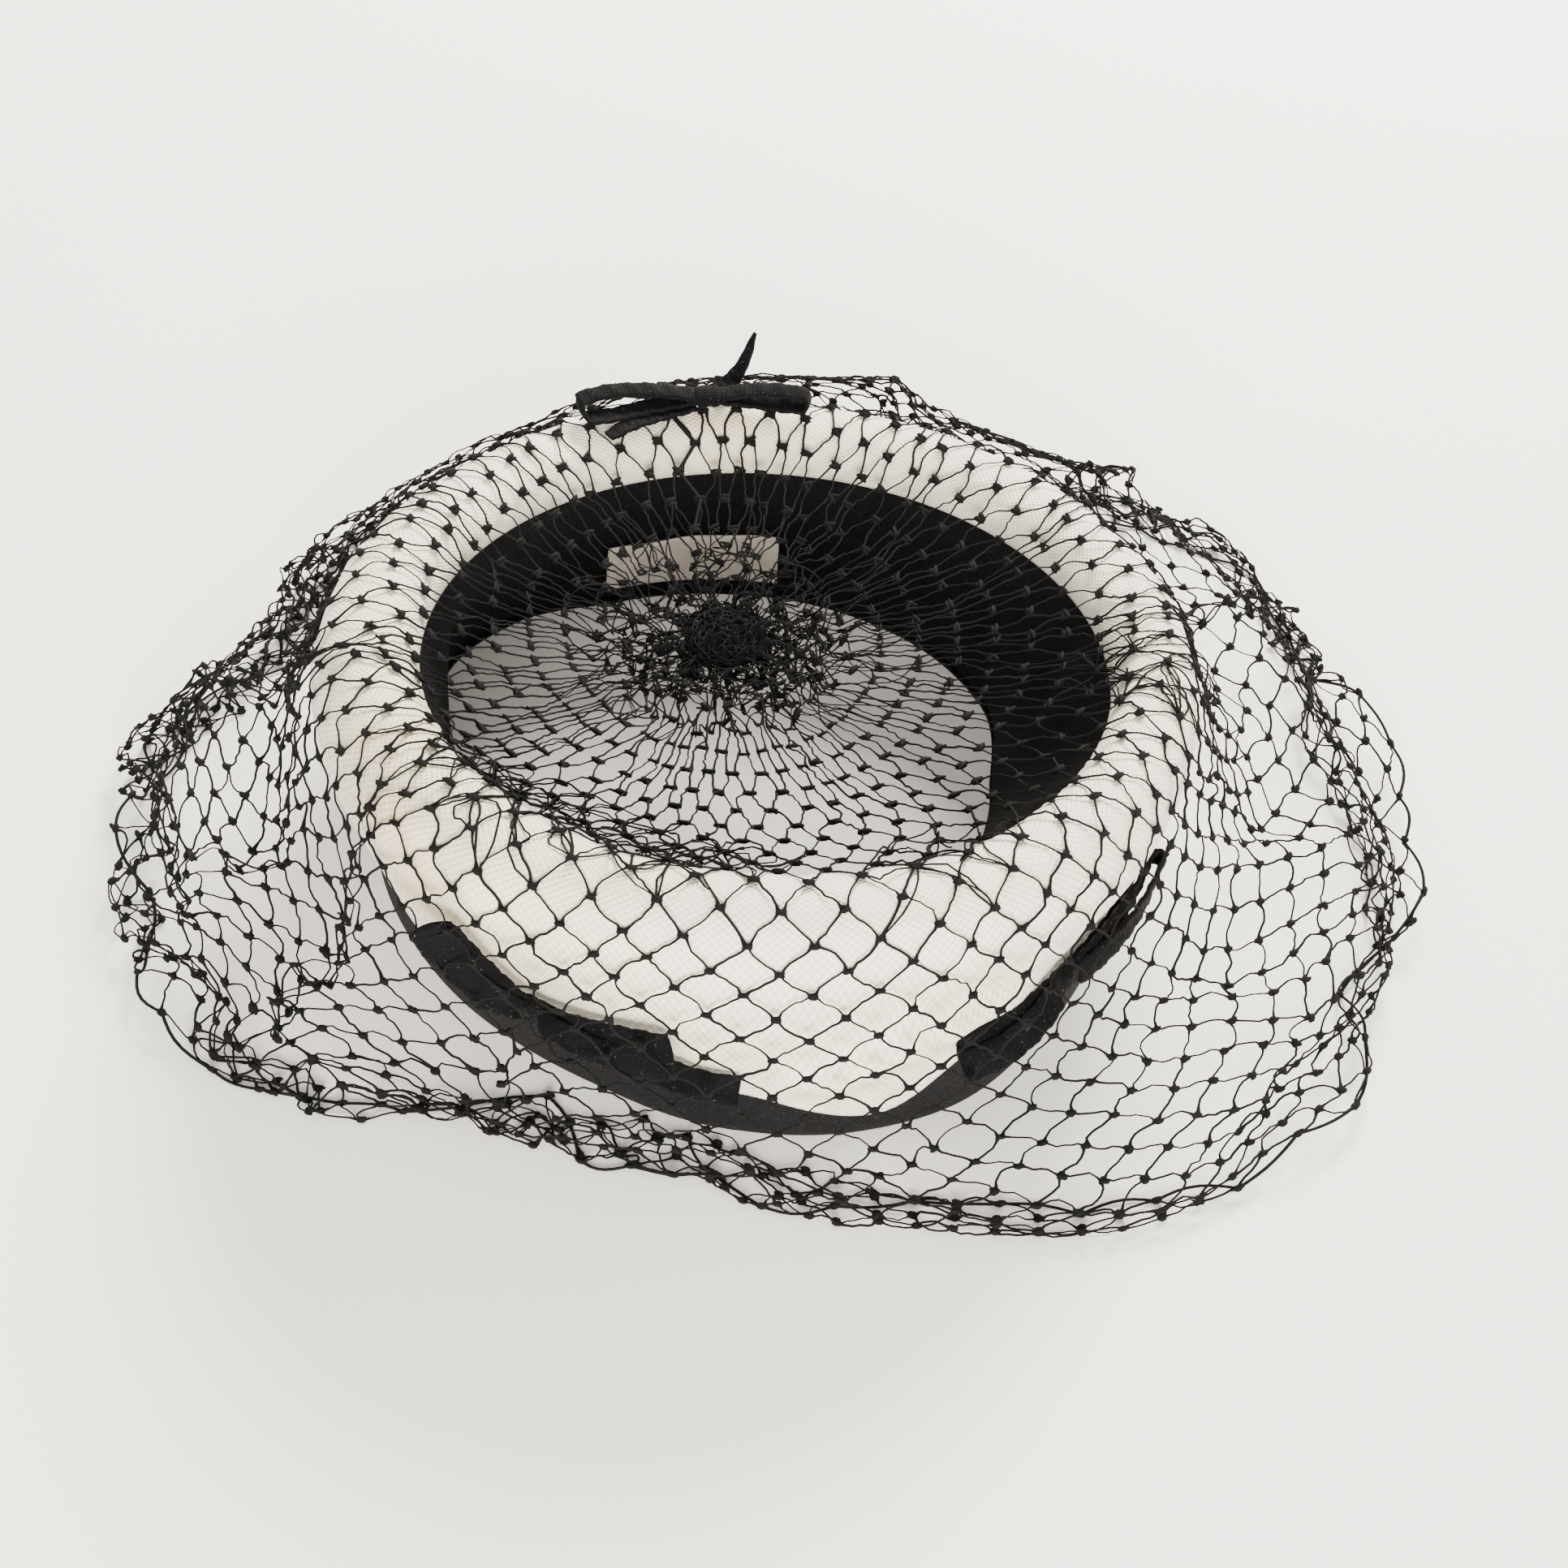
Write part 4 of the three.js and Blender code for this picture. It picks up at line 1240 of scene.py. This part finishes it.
def gatherStrands(rng):
    # threads drawn up into a crumpled clump
    centre = np.array(net["gather"]) + np.array([0, 0, 0.5])
    size = np.array(net["gatherSize"])
    strands = []
    steps = 8
    for _ in range(net["clump"]):
        way = unit(rng.normal(size=3))
        spot = unit(rng.normal(size=3)) * rng.uniform(0.1, 0.95) ** 0.6
        points = []
        for _ in range(steps):
            points.append(centre + spot * size)
            way = unit(way + rng.normal(size=3) * 0.7 - spot * 0.5)
            spot = spot + way * 0.3
            spot = spot / max(1.0, float(np.linalg.norm(spot)))
        strands.append((np.array(points), rng.uniform(0.15, 0.26) * np.ones(steps)))
    for _ in range(net["core"]):
        ends = centre + rng.normal(size=(2, 3)) * size * 0.28
        points = ends[0] + (ends[1] - ends[0]) * np.linspace(0, 1, 5)[:, None]
        points += rng.normal(size=(5, 3)) * 0.4
        strands.append((points, rng.uniform(0.7, 1.0) * np.array([0.5, 1.3, 1.6, 1.2, 0.4])))
    return strands


def threadFinish():
    finish = Finish("netThread", **{"Specular IOR Level": 0.1})
    dust = (finish.noise(0.02) * 1.8 - 0.6).clamped()
    twist = finish.noise(0.0006, 1.0)
    colour = finish.mix(dust * 0.5 + twist * 0.2, rgb(*net["colour"]), rgb(*net["dust"]))
    return finish.finish(colour, 0.75 + twist * 0.15, twist, depth=0.0001, strength=0.4)


def makeNet():
    rng = np.random.default_rng(net["seed"])
    start = layNet(rng)
    places = settleNet(start, frontBowSpots())
    print("net settled", places.shape)
    strands = netStrands(places, rng)
    finish = threadFinish()
    slackRng = np.random.default_rng(net["seed"] + 1)
    overRing = [tangleStrands(places, facts, slackRng) for facts in tangles[1:]]
    parts = [
        ("veilCrown", strands[:16] + [tangleStrands(places, tangles[0], slackRng)], ["veil_crown"]),
        ("veilOverRing", strands[16:24] + [seamStrands(places)] + overRing, []),
        ("veilSkirt", strands[24:31], ["veil_skirt"]),
        ("veilHem", strands[31:] + [hemStrands(places, rng)], []),
        ("veilGather", [gatherStrands(rng)], ["veil_gather"]),
    ]
    for name, rows, nodes in parts:
        mesh = strandMesh(name, [strand for row in rows for strand in row])
        newPiece(name, mesh, finish, nodes)
        print(name, len(mesh.polygons))


makeNet()
print("net made")


# floor, lights
studio = {
    "floor": (0.93, 0.915, 0.885),
    "key": {"place": (0.6, 1.0, 0.95), "size": 0.6, "power": 84.0, "colour": (1.0, 0.94, 0.85)},
    "fill": {"place": (-0.25, -1.5, 0.6), "size": 0.8, "power": 72.0, "colour": (1.0, 0.95, 0.87)},
    "world": (1.0, 0.965, 0.89),
    "worldPower": 1.3,
}


def makeStudio():
    bm = bmesh.new()
    bmesh.ops.create_grid(bm, x_segments=1, y_segments=1, size=3.0)
    floor = bpy.data.objects.new("floor", toMesh(bm, "floor"))
    bpy.context.scene.collection.objects.link(floor)
    finish = Finish("paleFloor", **{"Specular IOR Level": 0.2})
    soft = finish.noise(0.05)
    duller = rgb(*(0.97 * part for part in studio["floor"]))
    colour = finish.mix(soft * 0.3, rgb(*studio["floor"]), duller)
    floor.data.materials.append(finish.finish(colour, 0.85 + soft * 0.1))
    for name in ("key", "fill"):
        facts = studio[name]
        lamp = bpy.data.lights.new(name, "AREA")
        lamp.shape = "DISK"
        lamp.size = facts["size"]
        lamp.energy = facts["power"]
        lamp.color = facts["colour"]
        lit = bpy.data.objects.new(name, lamp)
        bpy.context.scene.collection.objects.link(lit)
        lit.location = facts["place"]
        lit.rotation_mode = "QUATERNION"
        lit.rotation_quaternion = (Vector((0, 0, 0.04)) - Vector(facts["place"])).to_track_quat("-Z", "Y")
    world = bpy.data.worlds.new("studio")
    world.use_nodes = True
    sky = world.node_tree.nodes["Background"]
    sky.inputs["Color"].default_value = rgb(*studio["world"])
    sky.inputs["Strength"].default_value = studio["worldPower"]
    bpy.context.scene.world = world


makeStudio()
print("studio made")
